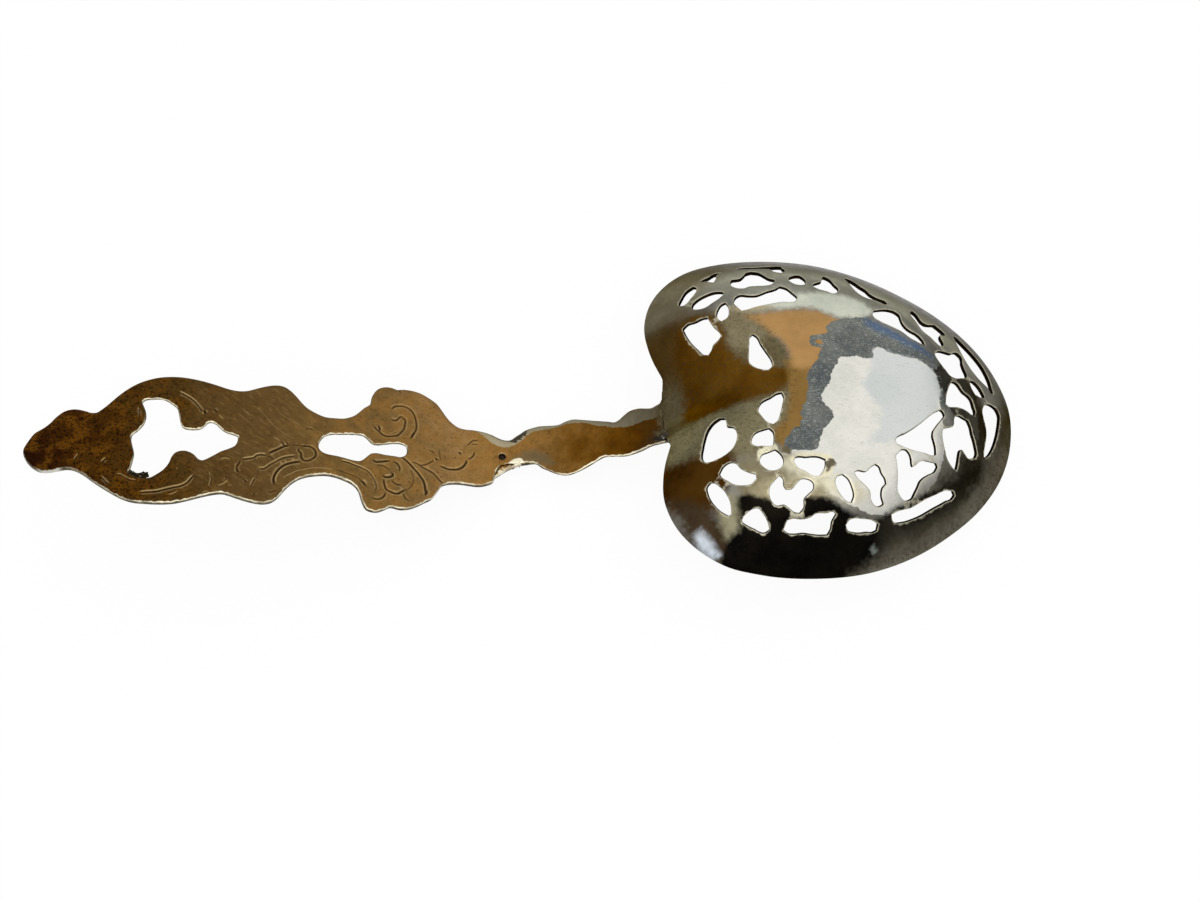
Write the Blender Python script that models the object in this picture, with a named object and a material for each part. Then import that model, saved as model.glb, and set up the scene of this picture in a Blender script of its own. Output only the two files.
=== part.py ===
"""A pierced serving spoon lying on its face: a domed heart-shaped bowl, a wavy stem and a scroll handle.

Lengths are in metres. The pieces are drawn in the frame of the bowl's rim: x runs from the heel of the
bowl (0) to its tip, y across it, and z up from the plane of the rim to the convex back. The spoon is
then tilted until the tip of the bowl and the neck rest on z = 0, with +X from handle to tip.
"""

import math

import bpy
import numpy as np
from mathutils import Vector
from mathutils.geometry import delaunay_2d_cdt

# Bowl
BOWL_LENGTH = 0.0673
BOWL_WIDTH = 0.0663
BOWL_WALL = 0.0008
BOWL_RISE = 0.0116
BOWL_CROWN = 0.0007
SIDE_SHOULDER = 0.0156
TIP_SHOULDER = 0.021
HEEL_DROP = 0.0044
HEEL_SPREAD = 0.0045
HEEL_REACH = 0.005

# Seam between bowl and stem
SEAM_INSET = 0.0026
SEAM_WIDTH = 0.0136
SEAM_SOLDER = 0.0007
SOLDER_CLEARANCE = 0.0001
SEAM_GAP = SEAM_SOLDER + 2 * SOLDER_CLEARANCE

# Stem
STEM_LENGTH = 0.0239
STEM_WIDTH = 0.014
NECK_DROP = 0.0154
STEM_EDGE = 0.00125
STEM_RAMP = 0.003
NECK_LOW = 0.0019
NECK_HIGH = 0.0041

# Handle
HANDLE_LENGTH = 0.0863
HANDLE_WIDTH = 0.027
HANDLE_THICKNESS = 0.0016
ARCH_DROP = 0.0097
END_DROP = 0.0116

# Lap joint at the neck
NECK_SOLDER = 0.0002
NECK_GAP = NECK_SOLDER + 2 * SOLDER_CLEARANCE
TONGUE_THICKNESS = 0.0013
NECK_THICKNESS = HANDLE_THICKNESS + NECK_GAP + TONGUE_THICKNESS
PEG_DIAMETER = 0.0009
PEG_CLEARANCE = 0.0001
PEG_SUNK = 0.00035
PEG_SHORT = 0.0006
PEG_SIDES = 14

# Worn flats where the spoon stands on its tip and its neck
WEAR = 0.0002

# Fineness of the meshes
OUTLINE_STEP = 0.0022
PIERCING_STEP = 0.0016
INTERIOR_STEP = 0.0032
EDGE_MARGIN = 0.0019
NORMAL_STEP = 0.0002
WELD = 1e-8
SHARP_ANGLE = math.radians(38)

# Places along the axis
SEAM_X = SEAM_INSET
STEM_X = SEAM_X - SEAM_GAP
NECK_X = STEM_X - STEM_LENGTH
HANDLE_X = NECK_X - NECK_GAP

PERCENT = 0.01

# The bowl's rim from its tip to the heel, in percent of its length from the heel and of its half width.
BOWL_RIM = (
    (100, 0), (98.9, 14.4), (96.9, 27.7), (93.9, 40), (85.5, 61), (75.2, 77), (64.2, 89.2),
    (51.7, 97.4), (37.8, 100), (22.7, 97), (15, 92.3), (8.2, 83), (3.1, 70), (0.6, 53.5),
)

# Saw-pierced openings on the side of negative y, in the same percents.
LOW_PIERCINGS = {
    "heel leaf": (
        (14.5, -18.5), (15.6, -20), (15.7, -23), (15.6, -26), (17, -28), (17.5, -31), (17.3, -35.5),
        (16.2, -39.5), (14.5, -42), (12.5, -43), (10, -42.5), (9.3, -40), (9.7, -34), (10.5, -28.5),
        (11.8, -22.5), (13.2, -19.5),
    ),
    "teardrop": (
        (30.6, -9), (30.9, -11.5), (30.4, -15.5), (29.4, -21.5), (28.2, -26.5), (27, -28.5),
        (25.7, -27.5), (24.3, -23.5), (23.7, -20.5), (24.1, -17.5), (25.2, -14.5), (27.5, -12),
        (29.5, -9.5),
    ),
    "small shield": (
        (20.9, -37), (21.8, -34), (24, -32), (25.8, -31), (26.6, -33), (26.6, -37), (26.1, -41),
        (23.5, -41), (21.5, -40.5), (20.8, -39),
    ),
    "small drop": (
        (22.4, -48), (23, -46), (24.5, -45), (26.5, -43.5), (27.5, -45.5), (28.2, -49), (27.8, -52.5),
        (26, -54.5), (24.2, -54), (23, -52), (22.3, -49.5),
    ),
    "wing": (
        (30.8, -50.5), (31.5, -48), (34, -48), (37.5, -48), (39, -49.5), (38.8, -52.5), (37.8, -56.5),
        (36.8, -58.5), (35.5, -58.5), (33.5, -56), (31.5, -53.5),
    ),
    "petal": (
        (12.7, -51), (13.7, -48), (15.5, -47), (16.5, -48), (17.5, -51), (19.5, -54), (21.1, -55.5),
        (21.2, -57.5), (20, -59.5), (18.3, -59.5), (16, -58), (14.2, -55), (13, -52.5),
    ),
    "lens": (
        (9.8, -55.5), (10.6, -54), (12.5, -57), (14.2, -62), (15.1, -67), (15.2, -71), (14.6, -71.5),
        (13, -69), (11, -64), (9.9, -58.5),
    ),
    "rim triangle": (
        (17.8, -74.5), (19, -72), (21.5, -71), (22.7, -73.5), (24.2, -78.5), (24.5, -80.5),
        (23.3, -81.5), (21, -79.5), (18.8, -77), (17.8, -75.5),
    ),
    "trefoil": (
        (24.4, -62.5), (25.5, -60), (26.8, -57.5), (27.6, -59), (27.7, -62.5), (28.3, -64.5),
        (29.7, -64.5), (31, -62), (32.3, -60), (34.3, -60.5), (35.2, -62), (35.3, -64.5), (34, -67),
        (32.9, -69), (32.8, -73), (31.8, -75), (30.6, -74.5), (29.5, -73), (28, -71), (26, -71),
        (24.6, -68), (24.2, -65),
    ),
    "long rim slot": (
        (28, -81), (28.8, -77.5), (30.2, -77), (32, -77.5), (34.5, -77), (36, -75.5), (38.5, -75.5),
        (40.5, -75), (41.2, -76), (40.2, -79), (40, -82), (39.3, -84), (37, -84), (33, -83),
        (29, -82.5),
    ),
    "short rim slot": (
        (44, -80), (45, -78), (48, -77.5), (51.5, -78), (52.8, -79), (52.6, -81.5), (50, -82.5),
        (46.5, -83), (44.6, -82),
    ),
    "oval": (
        (41, -61.5), (41.6, -59), (43, -58), (44.2, -60), (45.2, -64), (45.7, -68.5), (45.2, -71),
        (44, -70.5), (42.3, -67.5), (41.2, -64),
    ),
    "hook": (
        (46.1, -57), (47, -56), (49.3, -56.5), (50.8, -54), (52, -52.5), (52.8, -53.5), (53.4, -57),
        (54.4, -60), (54.6, -62), (53.6, -64), (53.3, -67.5), (54, -71), (53, -72), (51.4, -71.5),
        (50.4, -69), (50.2, -66), (48.8, -63), (46.8, -59.5),
    ),
    "forked leaf": (
        (57.9, -47.5), (58.8, -45.5), (59.7, -44), (60.9, -44), (61.6, -45.5), (62.1, -48.5),
        (62.2, -51.5), (62.4, -52.5), (63.3, -51.5), (64.5, -49.5), (66.1, -48.5), (67.9, -48.5),
        (69.6, -48.5), (70.1, -50), (69.3, -52.5), (67.5, -54.5), (65.5, -57), (64.7, -58.5),
        (63.9, -61.5), (63, -64.5), (62.4, -66.5), (61.6, -67.5), (60.1, -68), (58.8, -66.5),
        (58, -64.5), (57.9, -61.5), (58, -58), (58, -54.5), (57.9, -50.5),
    ),
    "triangle": (
        (72.6, -19.5), (73.3, -20.5), (73.6, -22.5), (72.8, -24.5), (71.6, -27), (70.3, -30),
        (69.4, -32.5), (69.1, -35), (69.4, -38), (69.7, -41), (69.7, -44.5), (66.2, -44.5), (63.3, -44),
        (60.6, -42.5), (58.6, -40.5), (58.5, -38.5), (58.9, -37), (61.3, -34.5), (64.3, -31),
        (67.4, -26.5), (70.7, -21.5),
    ),
    "double leaf": (
        (76.6, -23), (77.2, -21.5), (78.2, -20.5), (79.9, -21), (81.4, -21.5), (82.2, -24.5),
        (82.5, -28), (83.1, -31), (83.5, -34), (83.8, -36.5), (83.2, -39), (81.5, -40.5), (80.5, -41),
        (79.4, -39.5), (78.4, -38), (77.7, -39), (77.3, -41.5), (76.9, -45), (76.4, -48.5),
        (75.5, -48.5), (74.3, -47), (73.2, -44.5), (72.7, -41), (72.3, -37), (72.2, -33.5),
        (72.6, -30.5), (73.4, -29.5), (74.7, -28.5), (75.9, -27.5), (76.4, -25.5),
    ),
    "slanted rim slot": (
        (56.5, -74.5), (58, -73), (62, -70.5), (66, -66), (70, -62), (73.2, -59), (75.4, -58.5),
        (76, -60), (73.5, -63.5), (69.5, -68), (64.5, -73.5), (59.5, -77), (57.8, -77.5), (56.8, -76.5),
    ),
    "tip rim slot": (
        (87.5, -11.5), (88.5, -8), (90.1, -5.5), (92.3, -4.5), (94.1, -5), (94.8, -7), (94.4, -11.5),
        (93.6, -16), (92.7, -20.5), (91.5, -25.5), (90.2, -30), (88.7, -34), (87, -37), (86.4, -36.5),
        (86.7, -33), (87.4, -28.5), (88, -24), (88, -20), (87.6, -16.5),
    ),
    "tip wing": (
        (77.1, -3), (77.8, -1), (78.8, -0.5), (79.9, -1.5), (80.6, -3.5), (81.5, -5.5), (82.8, -6.5),
        (83.8, -8), (84.2, -11.5), (84.6, -14.5), (84, -17), (83, -17), (81.3, -16), (79.3, -15.5),
        (77.3, -16), (75.3, -16.5), (74.6, -15.5), (74.9, -12.5), (75.5, -9), (76.2, -6),
    ),
    "tip lens": (
        (84.8, 4.5), (86.3, 5.5), (87.6, 4.5), (88.8, 2), (89.5, -1), (89.1, -2.5), (87.7, -3.5),
        (85.7, -3.5), (84.8, -1), (84.5, 2),
    ),
}

# Saw-pierced openings on the side of positive y.
HIGH_PIERCINGS = {
    "heel leaf": (
        (8.8, 41), (10, 42.5), (11.5, 42), (13.5, 42.5), (14.6, 42), (15, 39), (15.6, 35), (16.7, 31),
        (17.2, 28), (16.3, 26), (15.2, 24.5), (14.7, 22), (14, 20.5), (12.8, 22), (11.5, 26), (10, 32),
        (9.2, 37),
    ),
    "teardrop": (
        (24.5, 25), (25.3, 26.5), (26.2, 25), (27, 20.5), (28.3, 15), (29.4, 9.5), (29.3, 7.5),
        (28, 5.5), (26.5, 6), (24.8, 7.5), (23.5, 10.5), (23.6, 14.5), (24, 20.5),
    ),
    "thin lens": (
        (17, 39.5), (17.8, 37), (19.3, 38.5), (20, 42.5), (20, 47), (19.6, 49.5), (18.6, 48.5),
        (17.5, 45.5), (16.9, 42),
    ),
    "wing": (
        (21.8, 47.5), (22.4, 45), (23.3, 42), (24.8, 42.5), (27, 44), (31, 46), (35, 47.5), (38.3, 48),
        (39, 50.5), (37.8, 53.5), (36.4, 57), (35, 58.5), (33.7, 56.5), (31, 54.5), (28, 52),
        (25.5, 52.5), (23.8, 53.5), (22.5, 52),
    ),
    "petal": (
        (11.8, 52), (12.5, 50.5), (14.5, 49.5), (16.6, 51.5), (18.6, 54), (19.9, 56.5), (19.7, 58.5),
        (18, 60), (15.5, 59.5), (13.2, 57.5), (12, 55),
    ),
    "lens": (
        (9.1, 58), (10.2, 57), (12, 60.5), (13.6, 64.5), (14.2, 69.5), (13.6, 71.5), (11.8, 69),
        (10.2, 64), (9.2, 60),
    ),
    "rim triangle": (
        (15.8, 74), (17, 73), (18.6, 69.5), (19.5, 72.5), (20.3, 77), (21.6, 80), (20.5, 80.5),
        (18.5, 77.5), (16.5, 75.5),
    ),
    "trefoil": (
        (22.4, 63), (23.6, 59.5), (25, 58.5), (26.8, 59.5), (29, 59.5), (31.5, 59.5), (33.5, 61.5),
        (34.2, 64.5), (32.8, 66), (31.8, 69.5), (30.8, 74), (29.3, 76), (27.8, 74.5), (26.8, 71.5),
        (25.3, 68.5), (23.2, 68.5), (22.5, 65.5),
    ),
    "long rim slot": (
        (26.3, 81.5), (28, 80.5), (33, 79), (34.8, 78), (35.5, 73.5), (37, 72), (38.3, 74), (38.7, 77),
        (38.5, 81), (39.5, 84), (36, 83.5), (31, 83), (27, 83.5),
    ),
    "oval": (
        (38, 64), (38.8, 61), (40.5, 59.5), (42, 60), (42.5, 62.5), (42.2, 66.5), (41.6, 69),
        (40.6, 69), (39.6, 68), (38.5, 66.5),
    ),
    "hook": (
        (44, 58.5), (45.4, 56.5), (47.5, 55), (49.3, 53.5), (50.7, 55), (51, 57.5), (50.2, 61.5),
        (49.6, 67), (48.7, 69.5), (47.8, 67), (46.8, 63), (45.4, 61.5), (44.3, 60),
    ),
    "slanted rim slot": (
        (55.2, 72), (56.7, 70.5), (57.6, 67), (58.4, 63), (59.4, 60.5), (60.2, 56), (61.7, 53.5),
        (63, 52.5), (64.2, 52), (64.5, 49.5), (63.5, 48), (62.2, 49.5), (60.9, 50.5), (59.5, 51),
        (58.1, 52), (56.9, 54), (55.9, 57.5), (55.5, 60.5), (55.2, 64.5), (55, 68),
    ),
    "triangle": (
        (59, 39), (59.5, 42), (61.4, 43), (64.5, 44), (65.9, 43.5), (66.9, 41.5), (66.9, 38.5),
        (67.1, 34.5), (67.9, 31.5), (69.2, 29.5), (70.3, 28.5), (71.2, 26.5), (71.8, 24.5), (72.1, 21),
        (71.2, 21.5), (69.3, 23.5), (68.1, 25), (66.9, 27.5), (65.7, 29.5), (63.1, 32.5), (60.6, 35.5),
        (59.4, 37.5),
    ),
    "double leaf": (
        (71.4, 46.5), (72.8, 50), (73.4, 48.5), (73.7, 44.5), (74, 41), (75.2, 39.5), (77.3, 41),
        (79.3, 43.5), (80.2, 42), (81.2, 40), (81.7, 37), (80.2, 34.5), (79.2, 34), (78.7, 31.5),
        (78.9, 28.5), (78.9, 26), (78.2, 24), (77.1, 23.5), (76.1, 25), (75, 28), (73.8, 30),
        (72.7, 32.5), (72.2, 35.5), (71.7, 39.5), (71.1, 43.5),
    ),
    "tip rim slot": (
        (86.2, 42.5), (87.7, 42.5), (88.9, 39), (90.2, 36), (91.4, 33), (92.6, 29.5), (93.7, 25),
        (94.2, 20), (94.4, 15), (94.1, 9.5), (93.7, 4.5), (92.7, 4), (92, 7), (90.9, 8), (89.3, 9.5),
        (87.8, 12), (86.5, 15.5), (85.7, 19.5), (85.3, 23.5), (85.1, 26), (85, 31), (85.2, 36.5),
    ),
    "tip wing": (
        (74.6, 16), (75.8, 18.5), (77.9, 19.5), (80.4, 20), (83.4, 23.5), (84.5, 22), (83.9, 17),
        (83.9, 12.5), (84.2, 8.5), (83.7, 6), (81.7, 4), (79.5, 2.5), (77.9, 3), (76.8, 6), (75.6, 10),
        (74.7, 14),
    ),
}

# Edges of the stem from the seam to the neck, in percent of its length and of its half width.
STEM_HIGH = (
    (0, 52), (2.5, 51), (6.5, 58), (12, 68), (17, 69), (22, 60), (25, 52), (28.5, 47), (33.5, 53),
    (43, 64), (53, 76), (58.5, 81.5), (64, 80), (69, 75), (74, 76), (84.5, 80), (89.5, 77.5),
    (95, 72), (98, 65),
)
STEM_LOW = (
    (0, -67), (2.5, -56), (6.5, -52), (12, -55), (17, -57), (24, -58.5), (32.5, -53), (38, -50),
    (43, -55), (48, -63), (53, -70), (58.5, -76), (65, -80), (71, -75), (79, -58), (84.5, -44),
    (87.5, -33), (92, -28),
)

# The stem's tongue under the handle, from its lower to its upper edge, in handle percents.
TONGUE = (
    (0.8, -16), (2.5, -21), (4, -27.5), (5.6, -34), (7, -36), (8.5, -30), (9.2, -15), (9.2, 5),
    (8.5, 20), (7, 26), (5, 27), (3, 22), (1.5, 20), (0.5, 23),
)
# The solder on the tongue, inside the edges of both pieces.
SOLDER_BED = (
    (1, -11.8), (2.5, -10.8), (3.6, -12.5), (4.4, -19), (5.3, -26), (6, -30), (7.2, -31), (8.2, -26),
    (8.7, -12), (8.7, 4), (8, 17), (6.5, 22), (5, 23), (3, 18), (1.5, 16.5),
)

# Edges of the handle from its end to the neck, in percent of its length and of its half width.
HANDLE_HIGH = (
    (99.9, -3), (99, 12), (98, 22), (96, 31), (95, 37), (94, 45), (92, 54.5), (90.5, 56), (88, 52),
    (87, 49.5), (86, 49.5), (85, 54), (82, 73), (80, 84), (78, 92), (76, 97), (74, 100), (72, 101),
    (70, 100.5), (66, 95.5), (62, 87), (60, 82), (57.5, 78.5), (56, 79), (54, 83), (50.5, 88.5),
    (49.5, 88.5), (48.5, 87), (47.5, 83), (46, 73), (44, 57), (42, 48), (40, 42.5), (38, 41.5),
    (36, 42), (34, 47.5), (32, 60), (30.8, 66), (30.2, 80), (29.6, 87), (28.9, 92), (27, 96),
    (25.5, 94.5), (25, 93), (24, 94), (22, 94), (20, 91), (18, 84), (16.5, 77), (15.5, 68),
    (13.8, 52), (11.8, 42.5), (10.5, 41), (8.5, 40.5), (6.5, 38), (5, 34), (3.5, 28), (2.5, 25),
    (1.5, 24),
)
HANDLE_LOW = (
    (99.3, -16), (98.5, -23), (97.5, -29), (96.5, -33), (95, -34.5), (93, -33), (91, -31.5),
    (90, -33), (88.5, -38), (86, -51), (82, -70), (80, -78), (78, -83), (76, -85), (72, -87),
    (70, -86.5), (66, -80.5), (62, -74.5), (60.5, -74), (58, -79.5), (54, -87.5), (52.5, -88.5),
    (51, -86.5), (50, -82), (48, -66), (46, -54), (44, -48), (42, -45.5), (40, -44.5), (38, -46.5),
    (36.5, -50), (35, -54.5), (34, -60), (33.3, -68), (33, -76), (32.6, -84), (32, -91.5), (30, -95),
    (28, -90), (27.2, -87), (25, -89), (23, -87), (20, -77), (18.5, -71), (16.8, -56), (16, -49),
    (15, -46), (11.5, -43.5), (8.5, -45), (7, -43.5), (5.3, -38), (5, -30), (4.2, -20), (3.5, -14),
    (2.5, -12.5), (1, -13.5),
)
TREFOIL_EYE = (
    (77, 62), (76.5, 65.5), (75, 67), (73.5, 67), (72, 63.5), (71, 58.5), (70, 52), (69.6, 43),
    (69.3, 33), (69, 26), (68.5, 22), (67.5, 20), (66, 19.5), (65, 21), (64.3, 25), (63.5, 30),
    (62.8, 30), (62, 27), (61, 20), (60, 15), (58.5, 11.5), (57.7, 9), (57.7, 4), (58.2, -4),
    (59.5, -9), (61, -13), (62.5, -19), (63.8, -24), (64.6, -26), (65.4, -24), (66, -19), (67, -14),
    (68, -11.5), (69, -11.5), (70, -14), (70.7, -20), (71.2, -29), (72.3, -39), (73.5, -45),
    (75, -50), (76.5, -49.5), (78, -46), (79, -41), (78.7, -36), (78.3, -25), (78.1, -14),
    (78.5, -2), (78.8, 8), (78.7, 13), (77.6, 20), (76.6, 28), (76.1, 38), (76.2, 48), (76.6, 56),
)
WAIST_SLOT = (
    (41.4, 0), (41.1, 5), (40.3, 12), (39, 16), (37, 17), (35, 18), (33.5, 18), (32.3, 17),
    (31.5, 13), (30.8, 8), (30.2, 5), (29.5, 4.5), (28, 6), (26, 8.5), (24.3, 8.5), (23.4, 6),
    (23.2, 0), (23.5, -7), (24.4, -11), (26, -10.5), (28, -9.5), (29.5, -8), (30.8, -9.5), (31.5, -13.5),
    (32.3, -18.5), (33, -21.5), (34, -21.5), (36, -18.5), (38, -15.5), (40, -13), (41, -9), (41.4, -4),
)
PEG_PLACE = (3.1, -1)

# The back's height along stem and handle: share of the piece's length, share of the drop across it.
STEM_FALL = ((0.0, 0.0), (0.16, 0.21), (0.45, 0.5), (0.89, 0.88))
NECK_LOWEST = 0.052
HANDLE_CLIMB = ((0.213, 0.4), (0.363, 0.754), (0.64, 1.0))
HANDLE_FALL = ((0.85, 0.42), (1.0, 1.0))
# The slope of the heel runs on into the bowl, which sets how steeply the stem leaves the seam.
HEEL_LEAD = 0.006
HEEL_LEAD_RISE = 0.0059

# Directions and smoothing used to measure the bowl's rim from its middle.
RIM_DIRECTIONS = 720
RIM_BLUR = 9
STEEPEST_LAND = 0.6


def in_percent(points, x_start, length, width):
    """Plan points from percents of a length, counted from x_start, and of half a width."""
    return [(x_start + a * PERCENT * length, b * PERCENT * width / 2) for a, b in points]


def bowl_plan(points):
    return in_percent(points, 0.0, BOWL_LENGTH, BOWL_WIDTH)


def stem_plan(points):
    return in_percent(points, STEM_X, -STEM_LENGTH, STEM_WIDTH)


def handle_plan(points):
    return in_percent(points, HANDLE_X, -HANDLE_LENGTH, HANDLE_WIDTH)


def smooth(points, step, closed=False):
    """A smooth curve through the points, with points added where two lie farther apart than a step."""
    points = np.array(points)
    count = len(points)
    if closed:
        points = np.vstack([points[-1:], points, points[:2]])
    else:
        points = np.vstack([2 * points[0] - points[1], points, 2 * points[-1] - points[-2]])
    chords = np.diff(points, axis=0)
    lengths = np.linalg.norm(chords, axis=1)[:, None]
    speeds = chords / lengths
    tangents = (speeds[:-1] * lengths[1:] + speeds[1:] * lengths[:-1]) / (lengths[:-1] + lengths[1:])
    line = []
    for i in range(count if closed else count - 1):
        start, end, span = points[i + 1], points[i + 2], lengths[i + 1, 0]
        pieces = math.ceil(span / step)
        for t in np.arange(pieces) / pieces:
            place = start * (1 + 2 * t) * (1 - t) ** 2 + end * t * t * (3 - 2 * t)
            pull = tangents[i] * t * (1 - t) ** 2 - tangents[i + 1] * t * t * (1 - t)
            line.append(tuple(place + pull * span))
    if not closed:
        line.append(tuple(points[-2]))
    return line


def straight(start, end, step):
    """Points between two ends of a straight edge, without the ends."""
    pieces = math.ceil(math.dist(start, end) / step)
    return [tuple(np.add(start, np.subtract(end, start) * i / pieces)) for i in range(1, pieces)]


def circle(middle, radius, sides):
    turns = np.arange(sides) * 2 * math.pi / sides
    return [(middle[0] + radius * math.cos(turn), middle[1] + radius * math.sin(turn)) for turn in turns]


def through(knots, at):
    """Heights of a smooth curve through (place, height) knots."""
    places, heights = np.array(knots).T
    slopes = np.gradient(heights, places)
    i = np.clip(np.searchsorted(places, at) - 1, 0, len(places) - 2)
    span = places[i + 1] - places[i]
    t = (at - places[i]) / span
    level = heights[i] * (1 + 2 * t) * (1 - t) ** 2 + heights[i + 1] * t * t * (3 - 2 * t)
    return level + span * (slopes[i] * t * (1 - t) ** 2 - slopes[i + 1] * t * t * (1 - t))


def rim_line():
    """The rim as an open curve from one corner of the seam round the tip to the other."""
    side = bowl_plan(BOWL_RIM)
    corner = (SEAM_X, SEAM_WIDTH / 2)
    lobe = side[-1]
    bend = (SEAM_X / 3, (corner[1] + lobe[1]) / 2)
    side = side + [bend, corner]
    mirrored = [(x, -y) for x, y in side[:0:-1]]
    return smooth(mirrored + side, OUTLINE_STEP)


def bowl_outline():
    rim = rim_line()
    return rim, rim + straight(rim[-1], rim[0], OUTLINE_STEP)


def measured_rim():
    """Distance of the rim from the middle of the bowl, by direction, with its corners softened."""
    _, outline = bowl_outline()
    x, y = np.array(outline).T
    across = 2 * x / BOWL_LENGTH - 1
    along = 2 * y / BOWL_WIDTH
    turns = np.arctan2(along, across)
    order = np.argsort(turns)
    directions = np.linspace(-math.pi, math.pi, RIM_DIRECTIONS, endpoint=False)
    reach = np.interp(directions, turns[order], np.hypot(across, along)[order], period=2 * math.pi)
    softened = sum(np.roll(reach, shift) for shift in range(-RIM_BLUR, RIM_BLUR + 1))
    return directions, softened / (2 * RIM_BLUR + 1)


RIM_TURNS, RIM_REACH = measured_rim()


def bowl_height(x, y):
    """Back of the bowl: a shoulder that rises from the rim to a slightly crowned top, dipped at the heel."""
    across = 2 * x / BOWL_LENGTH - 1
    along = 2 * y / BOWL_WIDTH
    turn = np.arctan2(along, across)
    reach = np.hypot(across, along) / np.interp(turn, RIM_TURNS, RIM_REACH, period=2 * math.pi)
    side = 2 * SIDE_SHOULDER / BOWL_WIDTH
    tip = 2 * TIP_SHOULDER / BOWL_LENGTH
    shoulder = side + (tip - side) * ((1 + np.cos(turn)) / 2) ** 3
    climb = np.minimum(1, (1 - reach) / shoulder)
    dome = BOWL_RISE * np.sin(math.pi / 2 * climb) + BOWL_CROWN * (1 - reach**2)
    inward = np.maximum(0, (x - SEAM_X) / HEEL_REACH)
    dip = HEEL_DROP * (1 + inward) * np.exp(-inward) * np.exp(-((y / HEEL_SPREAD) ** 2))
    return dome - dip


def spine_knots():
    """Height of the middle of the back from the seam to the handle's end, by distance from the seam."""
    stem_fall = NECK_DROP - HEEL_DROP
    knots = [(-HEEL_LEAD, HEEL_LEAD_RISE - HEEL_DROP)]
    knots += [(f * STEM_LENGTH, -HEEL_DROP - g * stem_fall) for f, g in STEM_FALL]
    start = SEAM_X - HANDLE_X
    knots.append((start + NECK_LOWEST * HANDLE_LENGTH, -NECK_DROP))
    climb = NECK_DROP - ARCH_DROP
    knots += [(start + f * HANDLE_LENGTH, -NECK_DROP + g * climb) for f, g in HANDLE_CLIMB]
    fall = END_DROP - ARCH_DROP
    knots += [(start + f * HANDLE_LENGTH, -ARCH_DROP - g * fall) for f, g in HANDLE_FALL]
    return knots


SPINE = spine_knots()


def spine_height(x, y):
    """Back of stem and handle: flat across, but arched near the seam like the heel that it meets."""
    away = SEAM_X - x
    seam = np.full_like(x, SEAM_X)
    arch = bowl_height(seam, y) - bowl_height(seam, np.zeros_like(y))
    fade = np.maximum(0, 1 - away / HEEL_REACH) ** 2
    return through(SPINE, away) + arch * fade


def stem_depth(x):
    """Thickness of the stem, from the bowl's wall at the seam to the full lap joint at the neck."""
    t = np.clip((STEM_X - x) / STEM_LENGTH, 0, 1)
    return BOWL_WALL + (NECK_THICKNESS - BOWL_WALL) * t * t * (3 - 2 * t)


def stem_edge_depth(x):
    """Thickness at the stem's edges: its front is domed, but the tongue beyond the neck is not."""
    full = stem_depth(x)
    ramp = np.clip(1 - (x - NECK_X) / STEM_RAMP, 0, 1)
    return np.minimum(full, STEM_EDGE) * (1 - ramp) + full * ramp


def domed_depth(plan, edge_count):
    """Depths of the stem below its plan points, of which the first ones are its edge."""
    x = plan[:, 0]
    return np.concatenate([stem_edge_depth(x[:edge_count]), stem_depth(x[edge_count:])])


def on_surface(height, x, y):
    """Points of a surface above plan points, and its normals there."""
    slope_x = (height(x + NORMAL_STEP, y) - height(x - NORMAL_STEP, y)) / (2 * NORMAL_STEP)
    slope_y = (height(x, y + NORMAL_STEP) - height(x, y - NORMAL_STEP)) / (2 * NORMAL_STEP)
    normals = np.stack([-slope_x, -slope_y, np.ones_like(x)], axis=1)
    normals /= np.linalg.norm(normals, axis=1)[:, None]
    return np.stack([x, y, height(x, y)], axis=1), normals


def inside(points, loops):
    """Which plan points lie in the outline and in none of the openings."""
    x, y = points.T
    found = np.zeros(len(points), bool)
    for loop in loops:
        for (x0, y0), (x1, y1) in zip(loop, loop[1:] + loop[:1]):
            if y0 != y1:
                found ^= ((y0 > y) != (y1 > y)) & (x < x0 + (y - y0) * (x1 - x0) / (y1 - y0))
    return found


def interior_points(loops):
    """A triangular grid over the plan, clear of its edges."""
    edge = np.array([point for loop in loops for point in loop])
    low, high = edge.min(axis=0), edge.max(axis=0)
    row_step = INTERIOR_STEP * math.sin(math.pi / 3)
    grid = []
    for row, y in enumerate(np.arange(low[1], high[1], row_step)):
        grid += [(x, y) for x in np.arange(low[0] + row % 2 * INTERIOR_STEP / 2, high[0], INTERIOR_STEP)]
    grid = np.array(grid)
    nearest = np.array([np.hypot(*(edge - point).T).min() for point in grid])
    return grid[inside(grid, loops) & (nearest > EDGE_MARGIN)]


def triangulated(loops):
    """Plan points and triangles of an outline with openings. The points of the loops come first."""
    points = []
    edges = []
    for loop in loops:
        first = len(points)
        points += loop
        edges += [(first + i, first + (i + 1) % len(loop)) for i in range(len(loop))]
    points += [tuple(point) for point in interior_points(loops)]
    flat = [Vector(point) for point in points]
    placed, _, faces, _, _, _ = delaunay_2d_cdt(flat, edges, [], 0, WELD)
    placed = np.array([tuple(point) for point in placed])
    middles = placed[np.array(faces)].mean(axis=1)
    kept = inside(middles, loops)
    return placed, [face for face, keep in zip(faces, kept) if keep]


def silver(name, colour, roughness):
    """Tarnished silver in one colour."""
    material = bpy.data.materials.new(name)
    material.use_nodes = True
    shader = material.node_tree.nodes["Principled BSDF"]
    shader.inputs["Base Color"].default_value = (*colour, 1.0)
    shader.inputs["Metallic"].default_value = 1.0
    shader.inputs["Roughness"].default_value = roughness
    return material


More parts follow.
